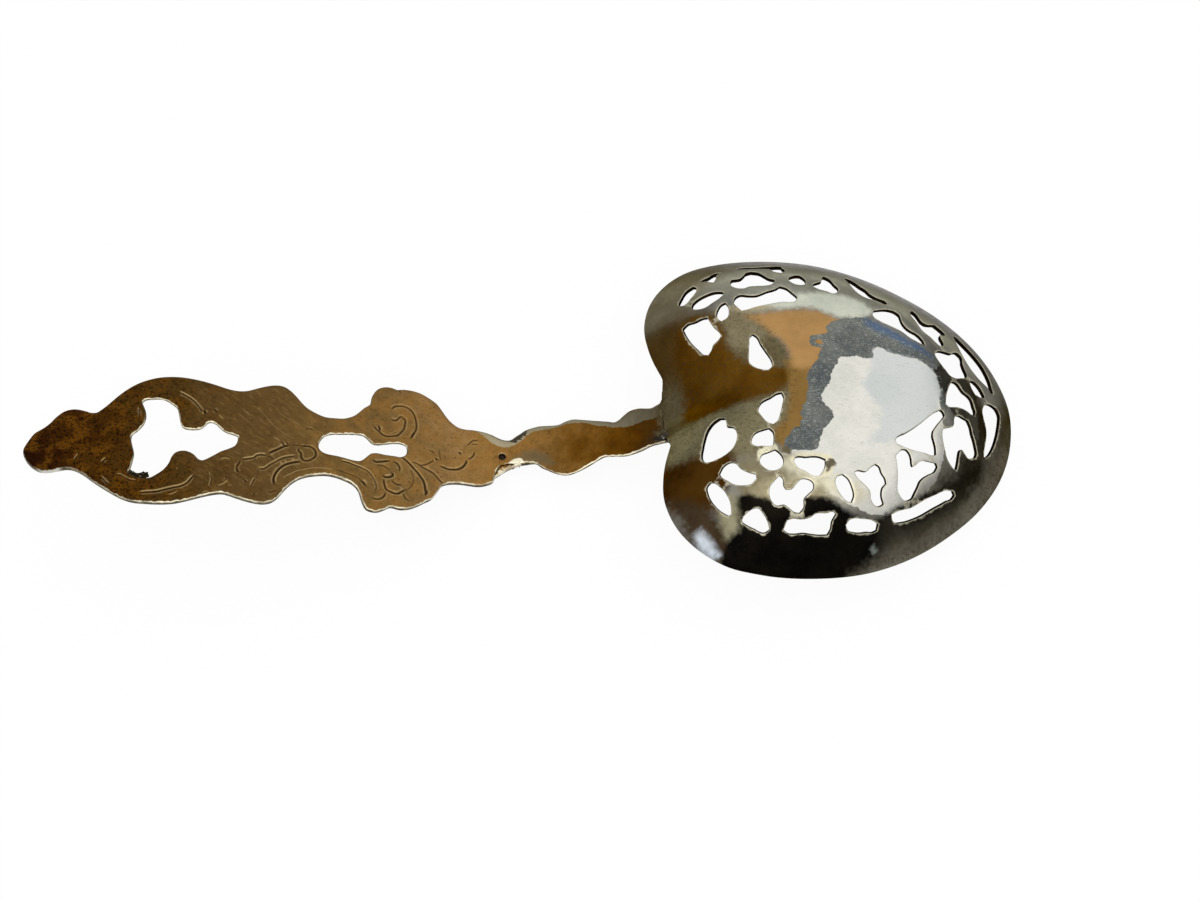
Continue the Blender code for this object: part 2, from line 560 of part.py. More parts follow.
def solid(name, faces, back, front, origin):
    """A closed object between two layers of points, with walls along the edges that one face uses."""
    count = len(back)
    quads = [tuple(face) for face in faces]
    sides = [(face[i], face[(i + 1) % 3]) for face in faces for i in range(3)]
    used = set(sides)
    quads += [tuple(count + i for i in reversed(face)) for face in faces]
    quads += [(b, a, a + count, b + count) for a, b in sides if (b, a) not in used]
    mesh = bpy.data.meshes.new(name)
    mesh.from_pydata(np.vstack([back, front]) - np.array(origin), [], quads)
    mesh.shade_smooth()
    mesh.set_sharp_from_angle(angle=SHARP_ANGLE)
    piece = bpy.data.objects.new(name, mesh)
    piece.location = origin
    bpy.context.scene.collection.objects.link(piece)
    return piece


def bent_slab(name, loops, top, depth):
    """A slab that follows the back of stem and handle, from top to depth below it."""
    plan, faces = triangulated(loops)
    points, normals = on_surface(spine_height, *plan.T)
    below = depth(plan, len(loops[0])) if callable(depth) else depth
    front = points - normals * np.reshape(below, (-1, 1))
    start = max(x for x, _ in loops[0])
    origin = (start, 0.0, float(spine_height(np.array([start]), np.zeros(1))[0]))
    return solid(name, faces, points - normals * top, front, origin)


def rebate(name, x_start, depth):
    """A cutter for the layer of the handle: everything beyond x_start, from above the back to a depth."""
    x_end = HANDLE_X - HANDLE_LENGTH / 2
    half = HANDLE_WIDTH / 2
    corners = [(x_end, -half), (x_start, -half), (x_start, half), (x_end, half)]
    loop = []
    for start, end in zip(corners, corners[1:] + corners[:1]):
        loop += [start] + straight(start, end, OUTLINE_STEP)
    return as_cutter(bent_slab(name, [loop], -HANDLE_THICKNESS, depth))


def as_cutter(helper):
    helper.hide_render = True
    helper.display_type = "WIRE"
    return helper


def cut(piece, cutter):
    boolean = piece.modifiers.new(cutter.name, "BOOLEAN")
    boolean.operation = "DIFFERENCE"
    boolean.object = cutter


def pierced_bowl():
    rim, outline = bowl_outline()
    piercings = list(LOW_PIERCINGS.values()) + list(HIGH_PIERCINGS.values())
    loops = [outline] + [smooth(bowl_plan(points), PIERCING_STEP, closed=True) for points in piercings]
    plan, faces = triangulated(loops)
    back, normals = on_surface(bowl_height, *plan.T)
    front = back - normals * BOWL_WALL
    # The rim is filed flat: its inner edge lies level with its outer one.
    outward = normals[: len(rim), :2]
    steepness = np.linalg.norm(outward, axis=1)[:, None]
    land = BOWL_WALL / np.maximum(steepness, STEEPEST_LAND)
    front[: len(rim), :2] = back[: len(rim), :2] - outward / steepness * land
    front[: len(rim), 2] = back[: len(rim), 2]
    # The two corners of the seam keep the wall's own thickness.
    for corner in (0, len(rim) - 1):
        front[corner] = back[corner] - normals[corner] * BOWL_WALL
    bowl = solid("pierced_bowl", faces, back, front, (SEAM_X, 0.0, 0.0))
    bowl.data.materials.append(silver("bowl_silver", (0.62, 0.59, 0.53), 0.24))
    return bowl


def peg_hole():
    middle = handle_plan([PEG_PLACE])[0]
    return circle(middle, PEG_DIAMETER / 2 + PEG_CLEARANCE, PEG_SIDES)


def wavy_stem(handle_layer):
    low = stem_plan(STEM_LOW) + [(NECK_X, -NECK_LOW)]
    high = stem_plan(STEM_HIGH) + [(NECK_X, NECK_HIGH)]
    edge = smooth(low + handle_plan(TONGUE) + high[::-1], OUTLINE_STEP)
    outline = (edge + straight(edge[-1], edge[0], OUTLINE_STEP))[::-1]
    stem = bent_slab("stem", [outline, peg_hole()], 0.0, domed_depth)
    cut(stem, handle_layer)
    stem.data.materials.append(silver("stem_silver", (0.5, 0.34, 0.16), 0.3))
    return stem


def scroll_handle():
    low = handle_plan(HANDLE_LOW) + [(HANDLE_X, -NECK_LOW)]
    high = handle_plan(HANDLE_HIGH) + [(HANDLE_X, NECK_HIGH)]
    edge = smooth(low[::-1] + high, OUTLINE_STEP)
    outline = (edge + straight(edge[-1], edge[0], OUTLINE_STEP))[::-1]
    openings = [smooth(handle_plan(points), PIERCING_STEP, closed=True) for points in (TREFOIL_EYE, WAIST_SLOT)]
    handle = bent_slab("scroll_handle", [outline] + openings + [peg_hole()], 0.0, HANDLE_THICKNESS)
    handle.data.materials.append(silver("handle_silver", (0.46, 0.33, 0.19), 0.3))
    return handle


def bowl_solder_seam():
    """A strip that fills the gap at the heel and narrows from the bowl's notch to the root of the stem."""
    near = SEAM_X - SOLDER_CLEARANCE
    far = STEM_X + SOLDER_CLEARANCE
    root_low = stem_plan(STEM_LOW[:1])[0][1]
    root_high = stem_plan(STEM_HIGH[:1])[0][1]
    corners = [(far, root_low), (near, -SEAM_WIDTH / 2), (near, SEAM_WIDTH / 2), (far, root_high)]
    loop = []
    for start, end in zip(corners, corners[1:] + corners[:1]):
        loop += [start] + straight(start, end, OUTLINE_STEP)
    seam = bent_slab("bowl_solder_seam", [loop], 0.0, BOWL_WALL)
    seam.data.materials.append(silver("seam_solder", (0.36, 0.35, 0.31), 0.5))
    return seam


def neck_solder_seam(bed_layer):
    """An L of solder: a thin bed between tongue and handle, turned up between stem and handle."""
    start = NECK_X - SOLDER_CLEARANCE
    low = [(start, SOLDER_CLEARANCE - NECK_LOW), (HANDLE_X, SOLDER_CLEARANCE - NECK_LOW)]
    high = [(HANDLE_X, NECK_HIGH - SOLDER_CLEARANCE), (start, NECK_HIGH - SOLDER_CLEARANCE)]
    loop = (low + smooth(handle_plan(SOLDER_BED), OUTLINE_STEP) + high)[::-1]
    depth = HANDLE_THICKNESS + SOLDER_CLEARANCE + NECK_SOLDER
    seam = bent_slab("neck_solder_seam", [loop, peg_hole()], SOLDER_CLEARANCE, depth)
    cut(seam, bed_layer)
    seam.data.materials.append(silver("neck_solder", (0.3, 0.27, 0.22), 0.5))
    return seam


def neck_peg():
    middle = handle_plan([PEG_PLACE])[0]
    outline = circle(middle, PEG_DIAMETER / 2, PEG_SIDES)
    peg = bent_slab("neck_peg", [outline], PEG_SUNK, NECK_THICKNESS - PEG_SHORT)
    peg.data.materials.append(silver("peg_silver", (0.16, 0.13, 0.1), 0.5))
    return peg


def table():
    """A block whose top is the surface that the spoon stands on."""
    reach = BOWL_LENGTH + STEM_LENGTH + HANDLE_LENGTH
    corners = [(-reach, -BOWL_WIDTH), (reach, -BOWL_WIDTH), (reach, BOWL_WIDTH), (-reach, BOWL_WIDTH)]
    top = np.array([(x, y, 0.0) for x, y in corners])
    return as_cutter(solid("table", [(0, 1, 2), (0, 2, 3)], top, top - (0, 0, BOWL_WIDTH), (0.0, 0.0, 0.0)))


def points_of(piece):
    return np.array([piece.location + vertex.co for vertex in piece.data.vertices])


def lowest(points, tilt):
    return (points[:, 2] * math.cos(tilt) - points[:, 0] * math.sin(tilt)).min()


def resting_tilt(bowl, stem):
    """The turn about Y at which the bowl and the neck touch a table together, found by halving."""
    low, high = 0.0, math.pi / 6
    bowl_points, stem_points = points_of(bowl), points_of(stem)
    while high - low > WELD:
        tilt = (low + high) / 2
        if lowest(stem_points, tilt) < lowest(bowl_points, tilt):
            low = tilt
        else:
            high = tilt
    return low, lowest(bowl_points, low)


def world_points(pieces):
    """Points of the finished pieces, after their cuts, in the world."""
    bpy.context.view_layer.update()
    graph = bpy.context.evaluated_depsgraph_get()
    found = []
    for piece in pieces:
        finished = piece.evaluated_get(graph)
        found += [finished.matrix_world @ vertex.co for vertex in finished.data.vertices]
    return np.array(found)


def build():
    for old in list(bpy.data.objects):
        bpy.data.objects.remove(old, do_unlink=True)
    tongue_top = HANDLE_THICKNESS + NECK_GAP
    bed_top = HANDLE_THICKNESS + SOLDER_CLEARANCE
    handle_layer = rebate("handle_layer", NECK_X, tongue_top)
    bed_layer = rebate("bed_layer", NECK_X - SOLDER_CLEARANCE - NECK_SOLDER, bed_top)
    bowl = pierced_bowl()
    stem = wavy_stem(handle_layer)
    pieces = [bowl, stem, scroll_handle(), bowl_solder_seam(), neck_solder_seam(bed_layer), neck_peg()]
    spoon = bpy.data.objects.new("spoon", None)
    bpy.context.scene.collection.objects.link(spoon)
    for piece in pieces + [handle_layer, bed_layer]:
        piece.parent = spoon
    tilt, depth = resting_tilt(bowl, stem)
    spoon.rotation_euler = (0.0, tilt, 0.0)
    spoon.location.z = -depth - WEAR
    stand = table()
    for piece in (bowl, stem):
        cut(piece, stand)
    finished = world_points(pieces)
    spoon.location.x = -(finished[:, 0].min() + finished[:, 0].max()) / 2
    spoon.location.y = -(finished[:, 1].min() + finished[:, 1].max()) / 2


build()
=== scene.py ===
"""Looks of a pierced silver serving spoon that lies on its face, seen from above its convex back.

Each solid of the frame gets a fine shell: its back becomes a smooth surface through the solid's own points,
its outlines are redrawn as smooth curves with rounded edges, and struck lines, tarnish, painted reflections,
painted highlights and painted shade are added.
Lengths are millimetres in the frame of the bowl's rim, x from heel to tip, until a mesh is made.
"""

import math

import bpy
import numpy as np
from mathutils import Matrix, Vector
from mathutils.geometry import delaunay_2d_cdt
from mathutils.kdtree import KDTree


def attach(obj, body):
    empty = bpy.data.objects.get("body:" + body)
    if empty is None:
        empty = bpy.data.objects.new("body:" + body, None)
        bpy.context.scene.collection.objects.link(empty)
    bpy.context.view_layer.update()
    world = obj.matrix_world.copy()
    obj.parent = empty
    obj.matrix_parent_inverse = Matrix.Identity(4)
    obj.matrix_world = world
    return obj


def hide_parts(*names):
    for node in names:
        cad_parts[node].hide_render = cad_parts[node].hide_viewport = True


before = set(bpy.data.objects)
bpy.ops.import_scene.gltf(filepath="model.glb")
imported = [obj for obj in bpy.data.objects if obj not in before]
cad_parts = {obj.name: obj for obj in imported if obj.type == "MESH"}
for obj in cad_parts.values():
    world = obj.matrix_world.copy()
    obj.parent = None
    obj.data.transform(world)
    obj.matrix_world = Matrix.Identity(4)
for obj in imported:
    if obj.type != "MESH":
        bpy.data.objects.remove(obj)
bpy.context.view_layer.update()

MM = 0.001

# Sizes of the solids that the shells keep
BOWL_WALL = 0.8
BOWL_LENGTH = 67.3
BOWL_HALF_WIDTH = 33.15
HEEL_HALF_WIDTH = 3
HANDLE_THICKNESS = 1.6
HANDLE_LENGTH = 86.3
HANDLE_HALF_WIDTH = 13.5
TONGUE_THICKNESS = 1.3

# Units of the places on the bowl's back: a hundredth of its length, and of a little more than its half width
BOWL_UNIT = np.array([0.673, 0.34])

# Gaps of the soldered joints, which the shells close, and how far they lap past them
SEAM_GAP = 0.9
NECK_GAP = 0.4
LAP = 0.12

# Reading of the solids: cosines of the largest turn within a side and along an outline, the least upright
# part of the normal of an upper or lower side, how near a straight end its points lie, the least length that
# counts, the places fitted at once, and the step that slopes are taken over
CREASE = math.cos(math.radians(38))
CORNER = math.cos(math.radians(52))
FACING = 0.5
END_REACH = 0.02
WELD = 1e-6
FIT_BATCH = 4000
SLOPE_STEP = 0.05

# Fineness of the shells: steps along outlines, between close places and round an edge, the room that a grid
# leaves beside edges and close places, in its own steps, and the steps of each piece's back and front
LOOP_STEP = 0.35
ZONE_STEP = 0.4
CLOSE_STEP = 0.1
ROUND_STEPS = 3
EDGE_ROOM = 0.6
CLOSE_ROOM = 0.5
BOWL_STEPS = (0.7, 1.3)
HANDLE_STEPS = (0.5, 1.2)
STEM_STEPS = (0.5, 1.0)
TONGUE_STEPS = (0.4, 1.0)
CRUST_STEPS = (0.15, 0.5)
SKIN_STEPS = (0.3, 0.8)
PEG_STEPS = (0.15, 0.3)

# Chamfer on the front's edges: share of the thickness, and inset for each millimetre of rise. A straight end
# is set in less, by TUCK_LAG for each millimetre from the edge beside it
SLIGHT_FOOT = (0.2, 1.0)
HANDLE_FOOT = (0.45, 0.7)
OPENING_FOOT = (0.7, 0.62)
STEM_FOOT = (0.62, 0.62)
TONGUE_FOOT = (0.7, 0.64)
HANDLE_FEET = (HANDLE_FOOT, OPENING_FOOT)
TUCK_LAG = 0.98

# Rounded edges of the back. An edge whose outward y is above FAR_SIDE is a far one. Places along the handle
# are in percent of its length from the neck, those along the stem in millimetres from the seam
TIGHT = 0.02
BOWL_BEVEL = 0.16
FAR_SIDE = 0.2
HANDLE_BEVEL = 0.3
HANDLE_FALL = 0.4
HANDLE_FAR_AT = (0, 1, 4, 7, 9, 20, 24)
HANDLE_FAR_WIDTH = (1.4, 1.5, 1.3, 0.9, 0.5, 0.5, 0.35)
STEM_FAR_AT = (0, 1, 3, 5, 9, 13, 16, 20, 23)
STEM_FAR_WIDTH = (1.8, 2, 2.4, 2.2, 1.1, 0.8, 0.9, 1.2, 1.4)
STEM_NEAR_AT = (0, 18, 20, 24)
STEM_NEAR_WIDTH = (0.35, 0.35, 1, 1)
STEM_FALL_SHARE = 0.55
STEM_FALL_MOST = 0.5
STEM_FALL_REACH = 2.2
SEAM_DIP = 0.2

# Distance from the edge that is given to points which meet another piece, so that no painted edge highlight
# or wall shade shows there
JOINED = 5.0

# The stem's tongue: its bevel, its step below the handle's back, where it rises beside the handle and before
# the neck, and how much its distances from the edge are shortened for a wider painted edge highlight and wall
# shade
TONGUE_BEVEL = 0.25
TONGUE_STEP = 0.25
CRACK = (0.04, 0.2)
NECK_RISE = (-1.2, -0.5)
TONGUE_EDGE_SPREAD = 0.3

# Skins of solder: their height at the edge and inside, the way between, their thickness, and their outlines
# with x from the ends that they join. The neck's skin drops to its far side as the pieces beside it do
SKIN_LOW = -0.03
SKIN_HIGH = 0.03
SKIN_EDGE = 0.9
SKIN_DEPTH = 0.3
SEAM_SKIN_FAR = ((-1.1, 2), (0, 2.7))
SEAM_SKIN_HEEL = ((0, 3.9), (1, 3.7), (1, 0), (1, -3.8), (0, -4.3))
SEAM_SKIN_NEAR = ((0.3, -3.8), (-1.6, -2.7), (-1.2, 0))
NECK_SKIN_LAP = 0.2
NECK_SKIN_FAR = ((-0.7, 2.7), (0.4, 3.1))
NECK_SKIN_STEM = ((0.7, 3.6), (0.8, 1), (0.7, -1.5))
NECK_SKIN_NEAR = ((0, -1.5), (-0.7, -1.3), (-0.9, 1))
NECK_BEVEL = 1.4
NECK_FALL = 0.42

# Lumps of solder at the seam's near corner: height, where they start, and their waves
LUMP_HEIGHT = 0.04
LUMP_FROM = (2.2, 3.2)
CORNER_FROM = 1.9
SEAM_CROSS = ((5.3, 1.3), (4.1, 0))
SEAM_SLANT = (3, 9.7)

# The peg's head
PEG_TOP = 0.2
PEG_SUNK = 0.45
PEG_DISH = 0.15
PEG_DEPTH = 1.2
PEG_ROUND = 0.12
PEG_POINTS = 36

# Camera of the photograph, the photograph's size in pixels, and the rounds in which a ray finds a surface
# from a first level
CAMERA_PLACE = Vector((0.01513, -0.1464, 0.26712))
CAMERA_RIGHT = Vector((0.99452, -0.08571, -0.05982))
CAMERA_UP = Vector((0.10393, 0.87163, 0.47902))
CAMERA_VIEW = math.radians(40)
CAMERA_NEAR = 0.01
PHOTO_WIDTH = 1200
PHOTO_HEIGHT = 900
RAY_ROUNDS = 12
RAY_LEVEL = -HANDLE_LENGTH / 6


def welded(node):
    """Points in millimetres and triangles of a frame node, with the points at one place joined."""
    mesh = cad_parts[node].data
    mesh.calc_loop_triangles()
    points = np.empty(len(mesh.vertices) * 3)
    mesh.vertices.foreach_get("co", points)
    triangles = np.empty(len(mesh.loop_triangles) * 3, int)
    mesh.loop_triangles.foreach_get("vertices", triangles)
    points = points.reshape(-1, 3) / MM
    _, first, joined = np.unique(np.round(points, 3), axis=0, return_index=True, return_inverse=True)
    return points[first], joined.reshape(-1)[triangles].reshape(-1, 3)


def face_normals(points, triangles):
    a, b, c = points[triangles].transpose(1, 0, 2)
    normals = np.cross(b - a, c - a)
    areas = np.linalg.norm(normals, axis=1)
    return normals / areas[:, None], areas / 2


def linked_faces(triangles, normals):
    """For each triangle the neighbours that go on smoothly from it."""
    neighbours = {}
    for face, corners in enumerate(triangles):
        for i in range(3):
            neighbours.setdefault(frozenset((corners[i], corners[i - 1])), []).append(face)
    linked = [[] for _ in triangles]
    for faces in neighbours.values():
        if len(faces) == 2 and normals[faces[0]] @ normals[faces[1]] > CREASE:
            linked[faces[0]].append(faces[1])
            linked[faces[1]].append(faces[0])
    return linked


def sides_of(node):
    """The smooth sides of a node, largest first: mean normal and triangles of each."""
    points, triangles = welded(node)
    normals, areas = face_normals(points, triangles)
    linked = linked_faces(triangles, normals)
    seen = np.zeros(len(triangles), bool)
    sides = []
    for start in range(len(triangles)):
        if seen[start]:
            continue
        seen[start] = True
        region = [start]
        for face in region:
            for other in linked[face]:
                if not seen[other]:
                    seen[other] = True
                    region.append(other)
        weight = areas[region]
        mean = (normals[region] * weight[:, None]).sum(axis=0) / weight.sum()
        sides.append((weight.sum(), mean, triangles[region]))
    sides.sort(key=lambda side: -side[0])
    return points, [(mean, faces) for _, mean, faces in sides]


def upward(node, rank=0):
    """Points and triangles of a node's largest (or next largest) side that faces up."""
    points, sides = sides_of(node)
    return points, [faces for mean, faces in sides if mean[2] > FACING][rank]


def downward(node):
    """Points and triangles of a node's largest side that faces down."""
    points, sides = sides_of(node)
    return points, [faces for mean, faces in sides if mean[2] < -FACING][0]


def boundary_loops(triangles):
    """Closed loops of point numbers round a side, with the side on their left, the longest first."""
    edges = {(a, b) for t in triangles for a, b in ((t[0], t[1]), (t[1], t[2]), (t[2], t[0]))}
    following = {a: b for a, b in edges if (b, a) not in edges}
    loops = []
    while following:
        start, point = following.popitem()
        loop = [start]
        while point != start:
            loop.append(point)
            point = following.pop(point)
        loops.append(loop)
    return sorted(loops, key=len, reverse=True)


def rim_frame():
    """Turn and origin of the plane of the bowl's rim, measured on the bowl's solid."""
    points, faces = upward("pierced_bowl")
    rim = points[boundary_loops(faces)[0]]
    free = rim[np.abs(rim[:, 1]) > BOWL_HALF_WIDTH / 3]
    slope, _ = np.polyfit(free[:, 0], free[:, 2], 1)
    turn = np.array(Matrix.Rotation(-math.atan(slope), 3, "Y"))
    tip = (rim @ turn)[:, 0].max()
    height = np.median((free @ turn)[:, 2])
    return turn, np.array([tip - BOWL_LENGTH, 0.0, height])


RIM_TURN, RIM_ORIGIN = rim_frame()


def to_rim(points):
    return points @ RIM_TURN - RIM_ORIGIN


def to_world(points):
    return (points + RIM_ORIGIN) @ RIM_TURN.T * MM


def fitted(points):
    """A smooth surface through points, as a function from plan places to heights."""
    plan = points[:, :2]
    count = len(points)

    def bend(places):
        squares = ((places[:, None] - plan[None]) ** 2).sum(axis=2)
        return squares * np.log(squares + WELD)

    flat = np.column_stack([np.ones(count), plan])
    system = np.block([[bend(plan), flat], [flat.T, np.zeros((3, 3))]])
    weights = np.linalg.solve(system, np.append(points[:, 2], np.zeros(3)))

    def height(places):
        batches = np.array_split(places, len(places) // FIT_BATCH + 1)
        return np.concatenate([
            bend(batch) @ weights[:count] + weights[count] + batch @ weights[count + 1:] for batch in batches
        ])

    return height


def normals_of(height, plan):
    """Unit normals of a height surface above plan places."""
    step_x, step_y = np.eye(2) * SLOPE_STEP
    slope_x = (height(plan + step_x) - height(plan - step_x)) / (2 * SLOPE_STEP)
    slope_y = (height(plan + step_y) - height(plan - step_y)) / (2 * SLOPE_STEP)
    normals = np.column_stack([-slope_x, -slope_y, np.ones(len(plan))])
    return normals / np.linalg.norm(normals, axis=1)[:, None]


def upright_normals(height, plan):
    """Normals for a shell whose walls stand upright, whatever its back does."""
    return np.tile((0.0, 0.0, 1.0), (len(plan), 1))


def tangents(before, ahead, before_length, ahead_length):
    """Directions at the points between chords, each nearer to the direction of the shorter chord."""
    both = before * ahead_length[:, None] + ahead * before_length[:, None]
    return both / (before_length + ahead_length)[:, None]


def bent(start, end, leaving, arriving, length, step):
    """Even steps along a smooth curve between two plan points with a direction at each."""
    pieces = max(1, round(length / step))
    t = (np.arange(pieces) / pieces)[:, None]
    place = start * (1 + 2 * t) * (1 - t) ** 2 + end * t * t * (3 - 2 * t)
    pull = leaving * t * (1 - t) ** 2 - arriving * t * t * (1 - t)
    return place + pull * length


def smooth_loop(points, step):
    """A closed smooth curve through plan points that keeps the sharp corners, cut into even steps."""
    after = np.roll(points, -1, axis=0)
    lengths = np.linalg.norm(after - points, axis=1)
    ways = (after - points) / lengths[:, None]
    before = np.roll(ways, 1, axis=0)
    mean = tangents(before, ways, np.roll(lengths, 1), lengths)
    corner = ((before * ways).sum(axis=1) < CORNER)[:, None]
    leaving = np.where(corner, ways, mean)
    arriving = np.roll(np.where(corner, before, mean), -1, axis=0)
    return np.vstack([bent(*ends, step) for ends in zip(points, after, leaving, arriving, lengths)])


def smooth_line(points, step):
    """An open smooth curve through plan points, cut into even steps."""
    chords = np.diff(points, axis=0)
    lengths = np.linalg.norm(chords, axis=1)
    ways = chords / lengths[:, None]
    mean = tangents(ways[:-1], ways[1:], lengths[:-1], lengths[1:])
    along = np.vstack([ways[:1], mean, ways[-1:]])
    curves = [bent(*ends, step) for ends in zip(points, points[1:], along, along[1:], lengths)]
    return np.vstack([*curves, points[-1:]])


def within(places, loops):
    """Which plan places lie inside an odd number of loops."""
    x, y = places.T
    found = np.zeros(len(places), bool)
    for loop in loops:
        for (x0, y0), (x1, y1) in zip(loop, np.roll(loop, -1, axis=0)):
            if y0 != y1:
                found ^= ((y0 > y) != (y1 > y)) & (x < x0 + (y - y0) * (x1 - x0) / (y1 - y0))
    return found


def nearest(places, points):
    """Distance from each place to the nearest of some points, and that point's number, all in plan."""
    tree = KDTree(len(points))
    for i, (x, y) in enumerate(points):
        tree.insert((x, y, 0.0), i)
    tree.balance()
    found = [tree.find((x, y, 0.0)) for x, y in places]
    return np.array([gap for _, _, gap in found]), np.array([i for _, i, _ in found])


def depth_in(places, outline):
    """Distance of plan places inside a smooth closed outline, negative outside it."""
    line = smooth_loop(outline, ZONE_STEP)
    gap, _ = nearest(places, line)
    return np.where(within(places, [line]), gap, -gap)


def step_up(values, low, high):
    """0 below low, 1 above high and a smooth rise between."""
    t = np.clip((values - low) / (high - low), 0, 1)
    return t * t * (3 - 2 * t)


def rounded_drop(out):
    """How far a quarter round has dropped, as a share, at a share of its width."""
    return 1 - np.sqrt(1 - out ** 2)


def ripples(plan, cross, slant):
    """Uneven waves from -2 to 2. cross holds wave number and start in x and in y, slant two wave numbers."""
    x, y = plan.T
    (wave_x, start_x), (wave_y, start_y) = cross
    return np.sin(x * wave_x + start_x) * np.sin(y * wave_y + start_y) + np.sin(x * slant[0] + y * slant[1])


def sheet(loops, step, close=None):
    """Plan points and triangles that fill an outline with openings. The loops' points come first.

    close holds further places that need points, such as both sides of a struck line.
    """
    edge = np.vstack(loops)
    low, high = edge.min(axis=0), edge.max(axis=0)
    rows = np.arange(low[1], high[1], step * math.sin(math.pi / 3))
    columns = np.arange(low[0], high[0], step)
    grid = np.array([(x + row % 2 * step / 2, y) for row, y in enumerate(rows) for x in columns])
    grid = grid[within(grid, loops)]
    grid = grid[nearest(grid, edge)[0] > step * EDGE_ROOM]
    if close is not None:
        close = close[within(close, loops)]
        close = close[nearest(close, edge)[0] > CLOSE_STEP]
        grid = np.vstack([grid[nearest(grid, close)[0] > step * CLOSE_ROOM], close])
    flat = [Vector(place) for place in np.vstack([edge, grid])]
    edges = []
    for loop in loops:
        first = len(edges)
        edges += [(first + i, first + (i + 1) % len(loop)) for i in range(len(loop))]
    placed, _, faces, _, _, _ = delaunay_2d_cdt(flat, edges, [], 0, WELD)
    placed = np.array([tuple(place) for place in placed])
    faces = np.array(faces)
    return placed, faces[within(placed[faces].mean(axis=1), loops)]


def wall_rings(height, loops, depth, bevel, feet, normals_at):
    """Rings of points down a shell's walls, from its back's edge to its front's, and the points' gaps.

    With them come, for the points of the outlines, the outward y and whether they meet another piece.
    """
    count = ROUND_STEPS + 1
    rings = [[] for _ in range(2 * count)]
    gaps = [[] for _ in range(2 * count)]
    sides, joined = [], []
    for number, loop in enumerate(loops):
        share, slope = feet[min(number, len(feet) - 1)]
        points = np.column_stack([loop, height(loop)])
        normals = normals_at(height, loop)
        along = np.roll(points, -1, axis=0) - np.roll(points, 1, axis=0)
        inward = np.cross(normals, along)
        inward /= np.linalg.norm(inward, axis=1)[:, None]
        width, fall, sink, lead, lag = bevel(loop, -inward[:, 1])
        thick = depth(loop) - sink
        points = points - normals * sink[:, None]
        sides.append(-inward[:, 1])
        joined.append(lag > 0)
        for j in range(count):
            turn = math.pi / 2 * j / ROUND_STEPS
            inset, drop = 1 - math.sin(turn), 1 - math.cos(turn)
            rings[j].append(points + inward * (width * inset)[:, None] - normals * (fall * drop)[:, None])
            gaps[j].append(width * inset - fall * drop)
            rise = share * thick * j / ROUND_STEPS
            tuck = np.maximum((slope * (share * thick - rise))[lead] - TUCK_LAG * lag, 0)
            low = thick - rise
            rings[-1 - j].append(points + inward[lead] * tuck[:, None] - normals * low[:, None])
            gaps[-1 - j].append(-low)
    return rings, gaps, np.concatenate(sides), np.concatenate(joined)


def stitched(loops, starts, back_faces, front_faces):
    """Faces of a shell: its back, its front turned over, and the bands of its walls from ring to ring."""
    faces = [tuple(face) for face in back_faces]
    faces += [tuple(starts[-1] + face[::-1]) for face in front_faces]
    first = 0
    for loop in loops:
        size = len(loop)
        for upper, lower in zip(starts, starts[1:]):
            for i in range(size):
                a, b = first + i, first + (i + 1) % size
                faces.append((upper + b, upper + a, lower + a, lower + b))
        first += size
    return faces


def new_piece(name, points, faces):
    """A smooth object in the scene, none of it below the table."""
    placed = to_world(points)
    placed[:, 2] = np.maximum(placed[:, 2], 0)
    mesh = bpy.data.meshes.new(name)
    mesh.from_pydata(placed, [], faces)
    mesh.shade_smooth()
    piece = bpy.data.objects.new(name, mesh)
    bpy.context.scene.collection.objects.link(piece)
    return piece


def field(piece, name, values):
    """Stores one number for each point of a piece, for its material."""
    attribute = piece.data.attributes.get(name)
    if attribute is None:
        attribute = piece.data.attributes.new(name, "FLOAT", "POINT")
    attribute.data.foreach_set("value", np.asarray(values, np.float32))


def shell(name, height, loops, depth, bevel, steps, feet=(SLIGHT_FOOT,), dent=None, close=None,
          upright=False):
    """A closed mesh below a height surface, with bevelled edges and a back that a function dents.

    depth is a function of plan places, the thickness, and bevel one of a loop that gives what edge_of gives.
    Four fields tell the material where a point lies: gap is its distance from the outline, negative down
    the wall and on the front, side is the y of the outline's outward direction there, opening is 1 where that
    outline is an opening's, and front is 1 on the front.
    """
    normals_at = upright_normals if upright else normals_of
    rings, gaps, sides, joined = wall_rings(height, loops, depth, bevel, feet, normals_at)
    back_plan, back_faces = sheet([ring[:, :2] for ring in rings[0]], steps[0], close)
    front_plan, front_faces = sheet([ring[:, :2] for ring in rings[-1]], steps[1])
    back = np.column_stack([back_plan, height(back_plan)])
    if dent is not None:
        back += normals_of(height, back_plan) * dent(back_plan)[:, None]
    front = np.column_stack([front_plan, height(front_plan)])
    front -= normals_at(height, front_plan) * depth(front_plan)[:, None]
    edge = np.vstack(loops)
    back[:len(edge)] = np.vstack(rings[0])
    front[:len(edge)] = np.vstack(rings[-1])
    levels = [back, *(np.vstack(ring) for ring in rings[1:-1]), front]
    points = np.vstack(levels)
    starts = [0]
    for level in levels[:-1]:
        starts.append(starts[-1] + len(level))
    piece = new_piece(name, points, stitched(loops, starts, back_faces, front_faces))
    gap, near = nearest(points[:, :2], edge)
    gap[starts[1]:starts[-1]] = np.concatenate([np.concatenate(ring) for ring in gaps[1:-1]])
    gap[starts[-1]:] = -depth(front_plan) - gap[starts[-1]:]
    gap[joined[near]] = JOINED
    field(piece, "gap", gap)
    field(piece, "side", sides[near])
    field(piece, "opening", near >= len(loops[0]))
    field(piece, "front", np.arange(len(points)) >= starts[-1])
    return piece, points


def even(value):
    """A function of plan places that is the same everywhere."""
    return lambda plan: np.full(len(plan), float(value))


